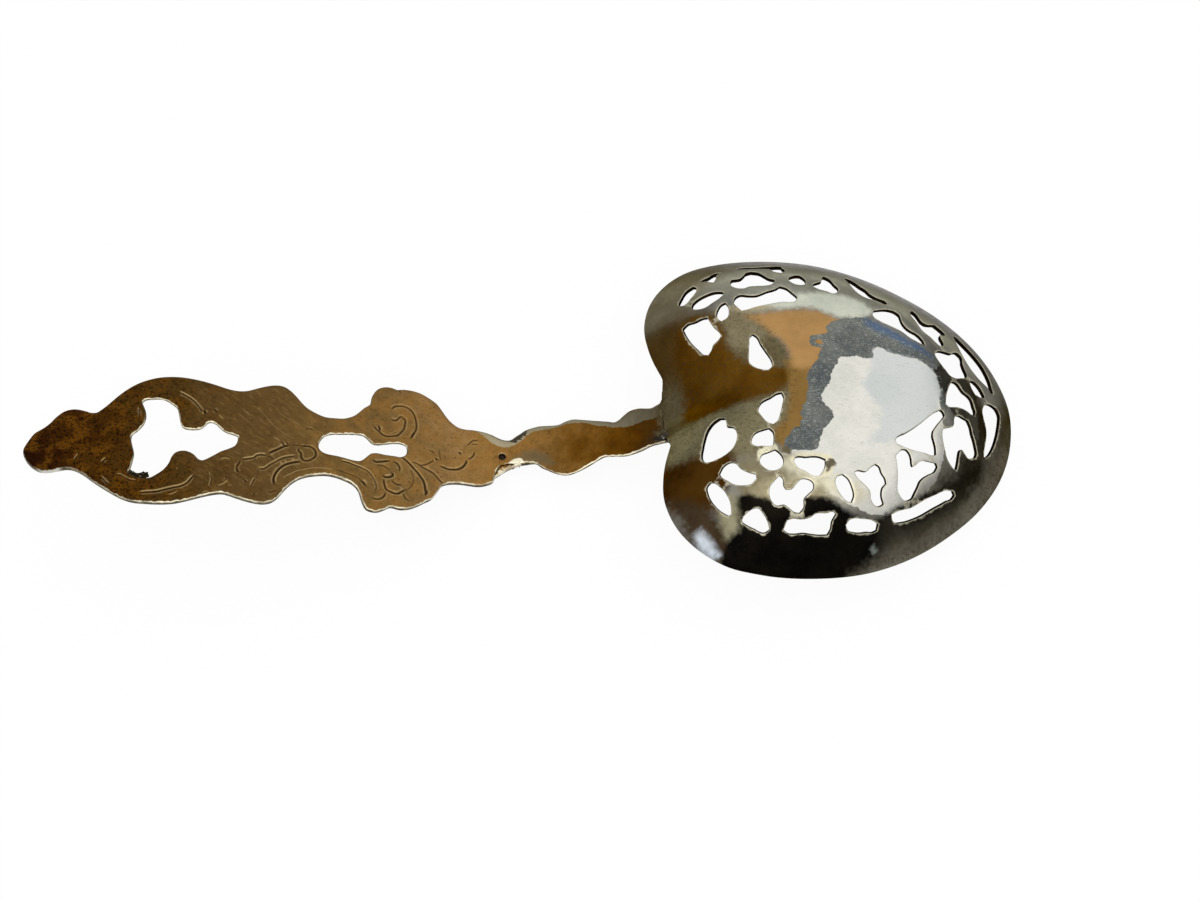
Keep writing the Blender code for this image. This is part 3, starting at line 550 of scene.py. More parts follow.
def back_of(node, rank=0):
    """Height surface and plan loops of the side of a node that faces up."""
    points, faces = upward(node, rank)
    points = to_rim(points)
    loops = [points[loop][:, :2] for loop in boundary_loops(faces)]
    return fitted(points[np.unique(faces)]), loops


def moved_edge(loop, x, to):
    """A loop whose points on the straight edge at x are moved along x to another place."""
    loop = loop.copy()
    loop[straight_ends(loop, x), 0] = to
    return loop


def straight_ends(loop, *ends):
    """Which places of a loop lie on its straight edges at some x."""
    return np.any([np.abs(loop[:, 0] - x) < END_REACH for x in ends], axis=0)


def edge_of(loop, width, fall, at_end=None):
    """Bevel of a loop: its width and drop, how far straight ends sink with it, and each point's lead and lag.

    A straight end, which meets another piece, has no bevel and no chamfer of its own: its points follow the
    edges beside it. A point's lead is the point of those edges that is nearest to it, and lag the way to it.
    """
    lead, lag, sink = np.arange(len(loop)), np.zeros(len(loop)), np.zeros(len(loop))
    if at_end is None or not at_end.any():
        return width, fall, sink, lead, lag
    sides = np.flatnonzero(~at_end)
    lag[at_end], near = nearest(loop[at_end], loop[sides])
    lead[at_end] = sides[near]
    out = np.clip(1 - np.maximum(lag - LOOP_STEP, 0) / width[lead], 0, 1)
    sink[at_end] = (fall[lead] * rounded_drop(out))[at_end]
    return np.where(at_end, TIGHT, width), np.where(at_end, TIGHT, fall), sink, lead, lag


def plain_bevel(size):
    """A bevel as wide as it is deep, the same all round."""
    def bevel(loop, side):
        return edge_of(loop, np.full(len(loop), size), np.full(len(loop), size))
    return bevel


# Dirt in the near corner of the handle's eye: its outline in pixels of the photograph, and its relief
EYE_CRUMBS = (
    (124, 470), (127, 475.5), (131, 478.6), (138, 480), (146, 479), (145.3, 474.5), (143.3, 470.9),
    (141.3, 471.7), (138.9, 472.8), (134.4, 473.1), (131.1, 470), (129.4, 468.5),
)
CRUST_SUNK = 0.3
CRUST_WAVES = 0.08
CRUST_ROUND = 0.12
CRUST_THICKNESS = 0.9
CRUST_CROSS = ((7.1, 0), (8.3, 1))
CRUST_SLANT = (4.3, 3.1)

# Lines struck into the handle's back, read off the photograph: kind, strength, then pixels of it. A dark line
# is a groove painted with shade, a light one a ridge painted with a highlight, and a pair both, its groove
# shifted below the ridge where the ridge's shade falls
UPPER_SPIRAL = (
    ("dark", 1.0, (373.5, 424.5), (375.5, 428), (379, 431), (382, 434), (386.5, 436), (392, 436),
     (398, 435), (401.5, 432), (404, 429), (405, 424.5), (405.5, 421), (404, 418.5), (400.5, 418)),
    ("dark", 1.3, (378.5, 425), (379.5, 428), (380, 431)),
    ("dark", 1.0, (390.5, 418), (393, 420), (396, 420.5), (398.5, 418.5), (401.5, 416.5), (404.5, 418.5)),
    ("light", 0.8, (391, 416), (393.5, 418), (396, 418.5), (398.5, 416)),
    ("dark", 1.0, (391, 410), (394, 407), (399, 406), (404.5, 406.5), (409.5, 409), (413.5, 413.5),
     (415.5, 418.5), (416.5, 424.5), (416, 430), (414, 433.5), (410.5, 438.5)),
    ("dark", 1.4, (414.5, 432), (412.5, 435.5), (410.5, 438.5)),
    ("light", 0.6, (386.5, 433.5), (393.5, 432), (399, 429), (402, 424.5)),
    ("dark", 0.45, (376, 408.5), (379, 412), (378, 416.5)),
    ("dark", 0.4, (372, 399), (376.5, 405.5), (382, 410), (389, 413.5)),
    ("dark", 1.0, (399.5, 390), (400, 391.5), (401, 393)),
    ("dark", 0.5, (416.5, 400), (418, 401.5), (418.5, 403.5)),
)
RIGHT_SWIRL = (
    ("dark", 0.7, (439, 448), (440, 455), (441.5, 462)),
    ("dark", 0.7, (450, 436), (452, 437.5), (453.5, 439)),
    ("dark", 0.5, (430, 410), (430, 412), (429.5, 414.5)),
    ("light", 0.6, (431, 421.5), (435.5, 424.5), (438, 430)),
    ("dark", 0.7, (423, 436.5), (424, 437), (425, 437)),
    ("dark", 0.6, (424.5, 446.5), (425, 448), (425.5, 449)),
    ("dark", 0.6, (426, 455.5), (427, 456), (428.5, 456.5)),
    ("dark", 0.8, (428.5, 450), (432, 451), (435.5, 454.5)),
    ("dark", 1.6, (435.5, 458), (436.5, 459), (437.5, 460)),
    ("light", 0.9, (433.5, 458.5), (434.5, 459), (435, 460)),
    ("dark", 0.9, (411, 462), (416.5, 463), (420, 465), (425.5, 464.5), (431, 462), (435.5, 459.5)),
    ("dark", 1.3, (439, 465.5), (443.5, 467), (448, 469), (453.5, 469.5), (459, 469), (464, 466),
     (466.5, 462), (467, 459)),
    ("light", 0.8, (440.5, 464.5), (448, 467), (454.5, 467.5), (460, 466), (464, 463.5)),
    ("dark", 1.5, (459, 452), (460, 453), (461.5, 454)),
    ("light", 0.9, (457.5, 450.5), (458.5, 451), (459, 452)),
    ("dark", 0.7, (457, 456.5), (455, 458), (453, 458.5)),
    ("dark", 1.0, (475, 451), (473.5, 455.5), (469.5, 458.5), (467, 459)),
    ("dark", 0.9, (466.5, 446.5), (469.5, 443.5), (473.5, 440.5), (480, 440.5)),
    ("dark", 0.8, (470, 444.5), (474.5, 444), (480, 444.5)),
)
LOWER_SCROLL = (
    ("dark", 1.3, (400, 455.5), (404.5, 459), (409, 463), (413.5, 468), (418, 473), (420.5, 476.5),
     (423.5, 481), (425, 486.5), (425.5, 491), (425.5, 496.5)),
    ("dark", 1.5, (427, 489.5), (427, 492), (426.5, 495)),
    ("light", 0.6, (406, 458), (411, 462), (416, 468), (420, 473)),
    ("dark", 1.0, (418, 464.5), (425, 468.5), (433, 473), (440, 480.5), (446, 485.5)),
    ("dark", 0.7, (410, 468.5), (413.5, 475.5), (412, 485.5), (405, 491)),
    ("dark", 0.7, (335, 468.5), (347, 473), (357, 477), (364, 482.5), (368.5, 489)),
)
ROSETTE = (
    ("dark", 1.3, (372, 459), (375.5, 461.5), (380.5, 461.5), (386.5, 461), (391, 460.5)),
    ("dark", 1.0, (392, 460.5), (396.5, 463), (399.5, 467), (399.5, 470.5), (398, 472)),
    ("dark", 1.4, (382, 474.5), (384.5, 476.5), (389, 477), (393, 475), (391, 471.5)),
    ("light", 1.0, (386, 474), (388, 474.5), (389.5, 474)),
    ("dark", 0.8, (375.5, 464), (379, 465), (383.5, 466), (388, 468.5), (391, 471)),
    ("dark", 1.1, (383.5, 478), (384.5, 484.5), (386.5, 489.5), (391, 491.5), (396.5, 493.5),
     (402, 491.5), (406.5, 489)),
    ("dark", 1.3, (389, 491), (393.5, 493), (398, 493.5), (402, 492)),
    ("dark", 0.9, (391, 478.5), (393.5, 482), (398, 484.5), (403.5, 484.5)),
    ("dark", 0.9, (403.5, 492), (404.5, 496.5), (408, 500), (411, 500.5)),
    ("dark", 1.0, (385.5, 491), (384.5, 495.5), (380.5, 498.5), (374.5, 498.5), (371, 496.5)),
    ("dark", 1.4, (360.5, 480.5), (363, 482), (364.5, 484), (365.5, 486)),
    ("pair", 0.9, (340, 459), (348, 461), (355.5, 464), (362, 466.5), (368, 470), (371.5, 474.5),
     (374.5, 480), (375.5, 485.5), (375, 490)),
    ("dark", 1.4, (350, 434), (351, 434.5), (352, 435)),
)
LONG_SCROLL = (
    ("pair", 1.0, (241, 458), (248, 457), (253.5, 456), (256, 454), (261, 453), (265, 453.5),
     (268, 453.5)),
    ("dark", 1.4, (268, 453.5), (272, 451.5), (278, 449), (283.5, 446.5), (288, 445.5), (290, 445)),
    ("pair", 0.9, (256.5, 467), (263.5, 467), (269, 463.5), (274.5, 460.5), (279, 458), (284.5, 456),
     (291, 455), (296.5, 454.5)),
    ("dark", 1.0, (300, 447), (298.5, 450.5), (301, 453), (301, 456.5), (303.5, 460), (308, 460.5),
     (312, 459), (315.5, 456), (316, 453), (314, 449), (310, 446.5), (305.5, 446), (300, 447)),
    ("dark", 1.4, (274.5, 484.5), (273.5, 479.5), (275, 474.5), (279, 469), (284.5, 465), (290, 463),
     (295.5, 462), (301, 461.5)),
    ("light", 1.0, (276.5, 483), (275.5, 479), (277, 474.5), (280.5, 470), (285.5, 466.5), (291, 464.5)),
    ("light", 0.7, (282, 478.5), (286.5, 475.5), (291, 473.5), (296.5, 471), (303.5, 469.5), (312, 468),
     (323.5, 468), (334.5, 470)),
    ("dark", 1.2, (282, 441.5), (284.5, 445), (289, 445.5)),
    ("dark", 1.0, (285.5, 441.5), (287, 443), (289, 444.5)),
    ("light", 1.0, (283.5, 443), (284.5, 444.5), (286, 445)),
    ("dark", 0.8, (304.5, 429.5), (308, 428.5), (311, 429), (315, 429.5)),
    ("dark", 0.45, (291, 435), (295.5, 436), (300, 435), (302, 433.5)),
    ("dark", 0.7, (289, 445), (296.5, 445), (302, 445.5), (309, 443)),
)
SHELL_RAYS = (
    ("light", 0.5, (256.5, 406), (265.5, 416), (274.5, 426), (284.5, 433.5), (295.5, 439.5)),
    ("light", 0.5, (276.5, 411.5), (290, 419.5), (302, 426)),
    ("light", 0.5, (242, 408.5), (247, 413), (252, 417)),
    ("light", 0.5, (236.5, 411.5), (241, 415.5), (245.5, 419.5)),
    ("dark", 0.7, (266.5, 435), (269, 435.5), (271, 435.5)),
    ("light", 0.7, (272, 436), (277, 439), (282, 442)),
)
LEAVES = (
    ("pair", 1.0, (179, 390.5), (185.5, 394), (192, 398), (197, 403), (200, 407), (203, 411.5)),
    ("dark", 1.6, (204, 410), (205, 412), (206, 413.5)),
    ("dark", 0.9, (213, 408.5), (215.5, 410.5), (218, 413)),
    ("light", 0.8, (218, 413.5), (221, 416.5), (224.5, 419.5)),
    ("light", 0.8, (219, 460.5), (223.5, 458), (228, 458.5), (231, 460.5)),
    ("light", 0.7, (235.5, 461.5), (235, 467), (234.5, 473)),
    ("dark", 0.9, (241, 458.5), (239, 463), (236.5, 467), (238, 471.5), (240, 474)),
    ("dark", 1.2, (225.5, 476), (226, 476.5), (227, 477)),
    ("light", 0.8, (215.5, 486), (222, 484), (225.5, 482), (228.5, 478)),
    ("light", 0.6, (226.5, 484.5), (230, 485), (233.5, 485)),
    ("dark", 0.9, (243.5, 478.5), (245, 480.5), (246.5, 483)),
    ("pair", 0.8, (255, 475.5), (252, 480.5), (249, 487)),
    ("dark", 0.8, (254, 491.5), (254, 494), (254, 496)),
    ("dark", 0.8, (266.5, 492), (272, 491.5), (278, 489.5)),
    ("dark", 0.8, (254.5, 457), (255, 459), (255, 460.5)),
    ("dark", 0.8, (266.5, 456), (271, 457), (274, 460.5)),
    ("dark", 0.8, (256.5, 469.5), (258, 471), (259, 473)),
    ("pair", 1.0, (138, 491.5), (145.5, 490.5), (154.5, 490), (163.5, 488), (172, 486), (181, 484),
     (186.5, 481), (190.5, 476.5), (193.5, 473.5)),
    ("light", 0.8, (166.5, 494.5), (172, 493.5), (179, 490)),
    ("pair", 0.7, (208, 488), (210, 481), (210.5, 475.5), (208, 470.5)),
    ("light", 0.6, (176.5, 466.5), (177, 468.5), (177, 470)),
    ("pair", 0.8, (101, 474.5), (105, 479.5), (109.5, 484)),
    ("pair", 0.9, (106.5, 456.5), (102, 460), (100.5, 462)),
    ("pair", 0.7, (114.5, 473), (121, 474), (124.5, 476), (130, 478.5), (138, 479.5)),
    ("pair", 0.8, (138, 405.5), (138.5, 411), (139.5, 416.5)),
    ("light", 0.7, (200, 494), (205.5, 491), (210, 492)),
    ("pair", 0.7, (72.5, 460.5), (76, 455.5), (79, 451.5)),
)
STROKES = (*UPPER_SPIRAL, *RIGHT_SWIRL, *LOWER_SCROLL, *ROSETTE, *LONG_SCROLL, *SHELL_RAYS, *LEAVES)

# Profile of the struck lines: a groove or a ridge that fades to its ends, the lips beside a groove, and the
# shift of a pair's groove below its ridge, where the ridge's shade falls
STROKE_WIDTH = 0.15
STROKE_THIN = 0.7
STROKE_DEPTH = 0.12
STROKE_STEP = 0.16
STROKE_FADE = 0.7
STROKE_END = 0.3
STROKE_REACH = 1
RIDGE_HEIGHT = 0.05
LIP_PLACE = 2.1
LIP_WIDTH = 0.8
LIP_SHARE = 0.55
PAIR_SHIFT = np.array([0.5, 1.4])


def camera_axes():
    """Right, up and back of the photograph's camera."""
    right = CAMERA_RIGHT.normalized()
    back = right.cross(CAMERA_UP).normalized()
    return right, back.cross(right), back


def on_surface(pixels, height):
    """Plan places of photograph pixels on a height surface, along the camera's rays."""
    right, up, back = camera_axes()
    reach = PHOTO_WIDTH / 2 / math.tan(CAMERA_VIEW / 2)
    across = (pixels[:, 0] - PHOTO_WIDTH / 2) / reach
    above = (PHOTO_HEIGHT / 2 - pixels[:, 1]) / reach
    ways = (np.outer(across, right) + np.outer(above, up) - np.array(back)) @ RIM_TURN
    eye = to_rim(np.array(CAMERA_PLACE)[None] / MM)
    level = np.full(len(pixels), RAY_LEVEL)
    for _ in range(RAY_ROUNDS):
        places = (eye + ways * ((level - eye[:, 2]) / ways[:, 2])[:, None])[:, :2]
        level = height(places)
    return places


def stroke_lines(height):
    """The struck lines in plan: whether each is a ridge, its places and its strength along it."""
    lines = []
    for kind, strength, *pixels in STROKES:
        pixels = np.array(pixels, float)
        drawn = []
        if kind != "dark":
            drawn.append((True, pixels))
        if kind != "light":
            drawn.append((False, pixels + PAIR_SHIFT * (kind == "pair")))
        for ridge, places in drawn:
            line = smooth_line(on_surface(places, height), STROKE_STEP)
            run = np.append(0, np.cumsum(np.linalg.norm(np.diff(line, axis=0), axis=1)))
            ends = np.minimum(run, run[-1] - run)
            taper = step_up(ends, 0, min(STROKE_FADE, run[-1] / 3))
            lines.append((ridge, line, strength * (STROKE_END + (1 - STROKE_END) * taper)))
    return lines


def beside(lines):
    """Places along and beside the struck lines where the handle's back needs points."""
    places = []
    for _, line, _ in lines:
        ways = np.gradient(line, axis=0)
        across = np.column_stack([-ways[:, 1], ways[:, 0]]) / np.linalg.norm(ways, axis=1)[:, None]
        for offset in (0, -1, 1, -LIP_PLACE, LIP_PLACE):
            places.append(line + across * offset * STROKE_WIDTH)
    places = np.vstack(places)
    _, first = np.unique(np.round(places / CLOSE_STEP), axis=0, return_index=True)
    return places[np.sort(first)]


def struck(plan, lines):
    """How deep plan places lie in the struck lines, and how far on their ridges, both from 0 up."""
    groove, lip = np.zeros(len(plan)), np.zeros(len(plan))
    for ridge, line, strength in lines:
        low, high = line.min(axis=0) - STROKE_REACH, line.max(axis=0) + STROKE_REACH
        near = np.flatnonzero(((plan > low) & (plan < high)).all(axis=1))
        if not len(near):
            continue
        gap, sample = nearest(plan[near], line)
        gap = gap / (STROKE_WIDTH * np.maximum(STROKE_THIN, strength[sample] ** 0.5))
        middle = strength[sample] * np.exp(-gap ** 2)
        beyond = LIP_SHARE * strength[sample] * np.exp(-((gap - LIP_PLACE) / LIP_WIDTH) ** 2)
        if ridge:
            lip[near] = np.maximum(lip[near], middle)
        else:
            groove[near] = np.maximum(groove[near], middle)
            lip[near] = np.maximum(lip[near], beyond)
    return groove, lip


# Marks on the brown metal, in handle percents: of the handle's length from the neck, negative on the stem,
# and of its half width. The far bevel gets a painted grey reflection, the neck painted shade and a painted
# highlight on its facet, and the ring round the peg weakens the painted edge highlight
HIGH_BEVEL = (
    (8.5, 40), (6.7, 30.4), (5.5, 22.4), (4.1, 15.9), (2.4, 12.4), (0.7, 13.8), (-0.8, 18.3),
    (-2.2, 26.6), (-3.9, 32.2), (-6.2, 32.7), (-8.5, 33.7), (-10.6, 35.6), (-13.4, 33.1), (-17.3, 21.5),
    (-22.8, 11.8), (-25, 12.7), (-26.9, 13.2), (-29.5, 10), (-32, 14), (-32, 60), (-10, 60), (3, 45),
    (8, 46),
)
NECK_FACET = (
    (2.2, -12.1), (0.9, -7.4), (-0.4, -5.6), (-1.4, -10.8), (-1.7, -16), (-0.3, -16.5), (1.2, -14.8),
)
NECK_SHADE = (
    (1.5, -6), (0, 0), (-1.5, 6), (-3, 7), (-5, 2), (-7, -10), (-8, -22), (-6.5, -24), (-4, -20),
    (-1.5, -18), (1, -14),
)
NECK_CRUMBS = (
    (3.8, 26), (2.1, 22), (0.6, 18), (-0.9, 21), (-2.6, 31), (-2, 40), (0.4, 32), (2.4, 32),
)
PEG_RING = (
    (4.6, -1), (4.1, 7), (3, 10.5), (1.9, 7), (1.4, -1), (1.9, -9), (3, -12.5), (4.1, -9),
)
MARKS = (
    ("high_bevel", HIGH_BEVEL), ("neck_shade", NECK_SHADE), ("neck_facet", NECK_FACET),
    ("neck_crumbs", NECK_CRUMBS), ("peg_ring", PEG_RING),
)


def neck_edge():
    """x of the handle's straight edge at the neck, where the handle's percents start."""
    return back_of("scroll_handle")[1][0][:, 0].max()


NECK_EDGE = neck_edge()


def along_handle(plan):
    """Handle percents of plan places along x."""
    return (NECK_EDGE - plan[:, 0]) / HANDLE_LENGTH * 100


def handle_place(percents):
    """Plan places of handle percents."""
    x = NECK_EDGE - percents[:, 0] / 100 * HANDLE_LENGTH
    return np.column_stack([x, percents[:, 1] / 100 * HANDLE_HALF_WIDTH])


def mark(piece, points):
    """Stores the fields that the brown metal's material reads."""
    plan = points[:, :2]
    field(piece, "along", along_handle(plan))
    for name, outline in MARKS:
        field(piece, name, depth_in(plan, handle_place(np.array(outline, float))))


def bowl_shell():
    height, loops = back_of("pierced_bowl")
    rim = loops[0]
    heel = rim[np.abs(rim[:, 1]) < HEEL_HALF_WIDTH, 0].min()
    loops = [smooth_loop(loop, LOOP_STEP) for loop in loops]

    def bevel(loop, side):
        width = np.full(len(loop), BOWL_BEVEL)
        return edge_of(loop, width, width, straight_ends(loop, heel))

    piece, points = shell("bowl_shell", height, loops, even(BOWL_WALL), bevel, BOWL_STEPS)
    for name, *_, outline in BOWL_ZONES:
        field(piece, name, depth_in(points[:, :2], np.array(outline, float) * BOWL_UNIT))
    return piece, height, heel


def handle_shell():
    height, loops = back_of("scroll_handle")
    end = NECK_EDGE + NECK_GAP / 2 + LAP
    loops[0] = moved_edge(loops[0], NECK_EDGE, end)
    loops = [smooth_loop(loop, LOOP_STEP) for loop in loops]
    lines = stroke_lines(height)

    def bevel(loop, side):
        far = np.interp(along_handle(loop), HANDLE_FAR_AT, HANDLE_FAR_WIDTH)
        width = np.where(side > FAR_SIDE, far, HANDLE_BEVEL)
        return edge_of(loop, width, np.minimum(width, HANDLE_FALL), straight_ends(loop, end))

    def dent(plan):
        groove, lip = struck(plan, lines)
        return RIDGE_HEIGHT * lip - STROKE_DEPTH * groove

    thick = even(HANDLE_THICKNESS)
    close = beside(lines)
    piece, points = shell("handle_shell", height, loops, thick, bevel, HANDLE_STEPS, HANDLE_FEET, dent, close)
    groove, lip = struck(points[:, :2], lines)
    field(piece, "groove", groove)
    field(piece, "lip", lip)
    mark(piece, points)
    return piece, height, loops[0]


def stem_shell():
    height, loops = back_of("stem")
    points, faces = downward("stem")
    under = fitted(to_rim(points)[np.unique(faces)])
    seam, neck = loops[0][:, 0].max(), loops[0][:, 0].min()
    lap = (seam + SEAM_GAP + LAP, neck - NECK_GAP / 2 - LAP)
    outline = moved_edge(moved_edge(loops[0], seam, lap[0]), neck, lap[1])
    outline = smooth_loop(outline, LOOP_STEP)

    def depth(plan):
        return (height(plan) - under(plan)) * normals_of(height, plan)[:, 2]

    def bevel(loop, side):
        along = seam - loop[:, 0]
        far = np.interp(along, STEM_FAR_AT, STEM_FAR_WIDTH)
        near = np.interp(along, STEM_NEAR_AT, STEM_NEAR_WIDTH)
        width = np.where(side > FAR_SIDE, far, near)
        fall = np.minimum(STEM_FALL_SHARE * width, STEM_FALL_MOST) * step_up(along, 0, STEM_FALL_REACH)
        return edge_of(loop, width, fall + TIGHT, straight_ends(loop, *lap))

    def dent(plan):
        return -SEAM_DIP * step_up(plan[:, 0], seam - SEAM_GAP, seam + SEAM_GAP)

    piece, points = shell("stem_shell", height, [outline], depth, bevel, STEM_STEPS, (STEM_FOOT,), dent)
    mark(piece, points)
    return piece, height, outline, seam


def tongue_shell(handle_height, handle_outline):
    """The stem's tongue, which runs under the handle and rises to its back in the notch below the neck."""
    low_height, loops = back_of("stem", 1)
    outline = smooth_loop(loops[0], LOOP_STEP)
    rise_from, rise_to = (NECK_EDGE + reach for reach in NECK_RISE)

    def height(plan):
        gap, _ = nearest(plan, handle_outline)
        free = np.where(within(plan, [handle_outline]), 0, gap)
        share = np.maximum(step_up(free, *CRACK), step_up(plan[:, 0], rise_from, rise_to))
        return low_height(plan) * (1 - share) + (handle_height(plan) - TONGUE_STEP) * share

    def depth(plan):
        return height(plan) - low_height(plan) + TONGUE_THICKNESS

    outward = np.array([0, -1])
    rise = np.vstack([handle_outline + outward * reach for reach in (0, *CRACK, 2 * CRACK[1])])
    rise = rise[(rise > outline.min(axis=0)).all(axis=1)]
    bevel, feet = plain_bevel(TONGUE_BEVEL), (TONGUE_FOOT,)
    piece, points = shell(
        "tongue_shell", height, [outline], depth, bevel, TONGUE_STEPS, feet, close=rise, upright=True
    )
    mark(piece, points)
    gap = np.empty(len(points), np.float32)
    piece.data.attributes["gap"].data.foreach_get("value", gap)
    # Shortened distances widen the painted highlight and shade at the tongue's edges
    field(piece, "gap", gap * TONGUE_EDGE_SPREAD)
    return piece


def eye_crust(handle_height):
    """Old dirt that fills the near corner of the handle's eye, a little below the handle's back."""
    outline = smooth_loop(on_surface(np.array(EYE_CRUMBS, float), handle_height)[::-1], CRUST_STEPS[0])

    def height(plan):
        return handle_height(plan) - CRUST_SUNK + CRUST_WAVES * ripples(plan, CRUST_CROSS, CRUST_SLANT)

    bevel = plain_bevel(CRUST_ROUND)
    piece, _ = shell("eye_crust", height, [outline], even(CRUST_THICKNESS), bevel, CRUST_STEPS)
    return piece


def skin_outline(*runs):
    """A smooth outline from runs of points, each run placed along x from the end that it belongs to."""
    places = np.array([(x + along, across) for x, run in runs for along, across in run])
    return smooth_loop(places[::-1], LOOP_STEP)


def solder_skin(name, first, second, start, end, outline, lumps):
    """Solder run over a joint: a skin that goes from one height surface to another and thins to its edges."""
    def height(plan):
        share = step_up(plan[:, 0], start, end)
        gap, _ = nearest(plan, outline)
        proud = SKIN_LOW + (SKIN_HIGH - SKIN_LOW) * step_up(gap, 0, SKIN_EDGE)
        return first(plan) * (1 - share) + second(plan) * share + proud + lumps(plan)

    piece, points = shell(name, height, [outline], even(SKIN_DEPTH), plain_bevel(TIGHT), SKIN_STEPS)
    mark(piece, points)
    field(piece, "gap", np.full(len(points), JOINED))
    return piece, points


def seam_skin(stem_height, bowl_height, seam, heel):
    outline = skin_outline((seam, SEAM_SKIN_FAR), (heel, SEAM_SKIN_HEEL), (seam, SEAM_SKIN_NEAR))

    def lumps(plan):
        return LUMP_HEIGHT * ripples(plan, SEAM_CROSS, SEAM_SLANT) * step_up(-plan[:, 1], *LUMP_FROM)

    piece, points = solder_skin("seam_skin", stem_height, bowl_height, seam, heel, outline, lumps)
    field(piece, "corner", -CORNER_FROM - points[:, 1])
    return piece


def neck_skin(handle_height, stem_height, handle_outline, stem_outline):
    low, high = NECK_EDGE - NECK_SKIN_LAP, NECK_EDGE + NECK_GAP + NECK_SKIN_LAP
    outline = skin_outline((low, NECK_SKIN_FAR), (high, NECK_SKIN_STEM), (low, NECK_SKIN_NEAR))
    handle_edge = handle_outline[handle_outline[:, 0] < NECK_EDGE]
    stem_edge = stem_outline[stem_outline[:, 0] > NECK_EDGE + NECK_GAP]
    sides = np.vstack([handle_edge, stem_edge])
    upper = sides[sides[:, 1] > 0]

    def bevel_drop(plan):
        gap, _ = nearest(plan, upper)
        return -NECK_FALL * rounded_drop(np.clip(1 - gap / NECK_BEVEL, 0, 1))

    piece, _ = solder_skin("neck_skin", handle_height, stem_height, low, high, outline, bevel_drop)
    return piece


def peg_head(handle_height):
    """The sunk head of the neck's peg, a dished disc at the bottom of its hole."""
    points = to_rim(welded("neck_peg")[0])
    top = points[points[:, 2] > points[:, 2].max() - PEG_TOP]
    middle, radius = top[:, :2].mean(axis=0), np.ptp(top[:, 1]) / 2
    turns = np.linspace(0, 2 * math.pi, PEG_POINTS, endpoint=False)
    outline = middle + radius * np.column_stack([np.cos(turns), np.sin(turns)])

    def height(plan):
        out = np.linalg.norm(plan - middle, axis=1) / radius
        return handle_height(plan) - PEG_SUNK - PEG_DISH * (1 - np.minimum(out, 1) ** 2)

    piece, _ = shell("peg_head", height, [outline], even(PEG_DEPTH), plain_bevel(PEG_ROUND), PEG_STEPS)
    return piece


def srgb(*display):
    """A linear colour from its display values out of 255, by the rule of the sRGB standard."""
    return tuple(((v / 255 + 0.055) / 1.055) ** 2.4 if v > 10 else v / 255 / 12.92 for v in display)


class Nodes:
    """A node tree, with short words for its nodes."""

    def __init__(self, tree):
        self.tree = tree

    def give(self, socket, value):
        """Links an output to a socket, or sets the socket's own number, vector or colour."""
        if isinstance(value, bpy.types.NodeSocket):
            self.tree.links.new(value, socket)
        elif socket.type == "RGBA":
            socket.default_value = (*value, 1.0)
        else:
            socket.default_value = value

    def node(self, kind, inputs=None, **settings):
        """A new node of a kind with its settings and inputs."""
        node = self.tree.nodes.new("ShaderNode" + kind)
        for name, value in settings.items():
            setattr(node, name, value)
        for socket, value in (inputs or {}).items():
            self.give(node.inputs[socket], value)
        return node

    def math(self, operation, first, second):
        return self.node("Math", {0: first, 1: second}, operation=operation).outputs[0]

    def plus(self, first, second):
        return self.math("ADD", first, second)

    def times(self, first, *others):
        for other in others:
            first = self.math("MULTIPLY", first, other)
        return first

    def ramp(self, value, low, high, to_low=0.0, to_high=1.0):
        """A smooth rise from to_low at low to to_high at high."""
        inputs = dict(enumerate((value, low, high, to_low, to_high)))
        return self.node("MapRange", inputs, interpolation_type="SMOOTHSTEP").outputs[0]

    def part(self, value, *ramps):
        """The product of ramps of one value, such as a rise and a fall."""
        return self.times(*(self.ramp(value, *ramp) for ramp in ramps))


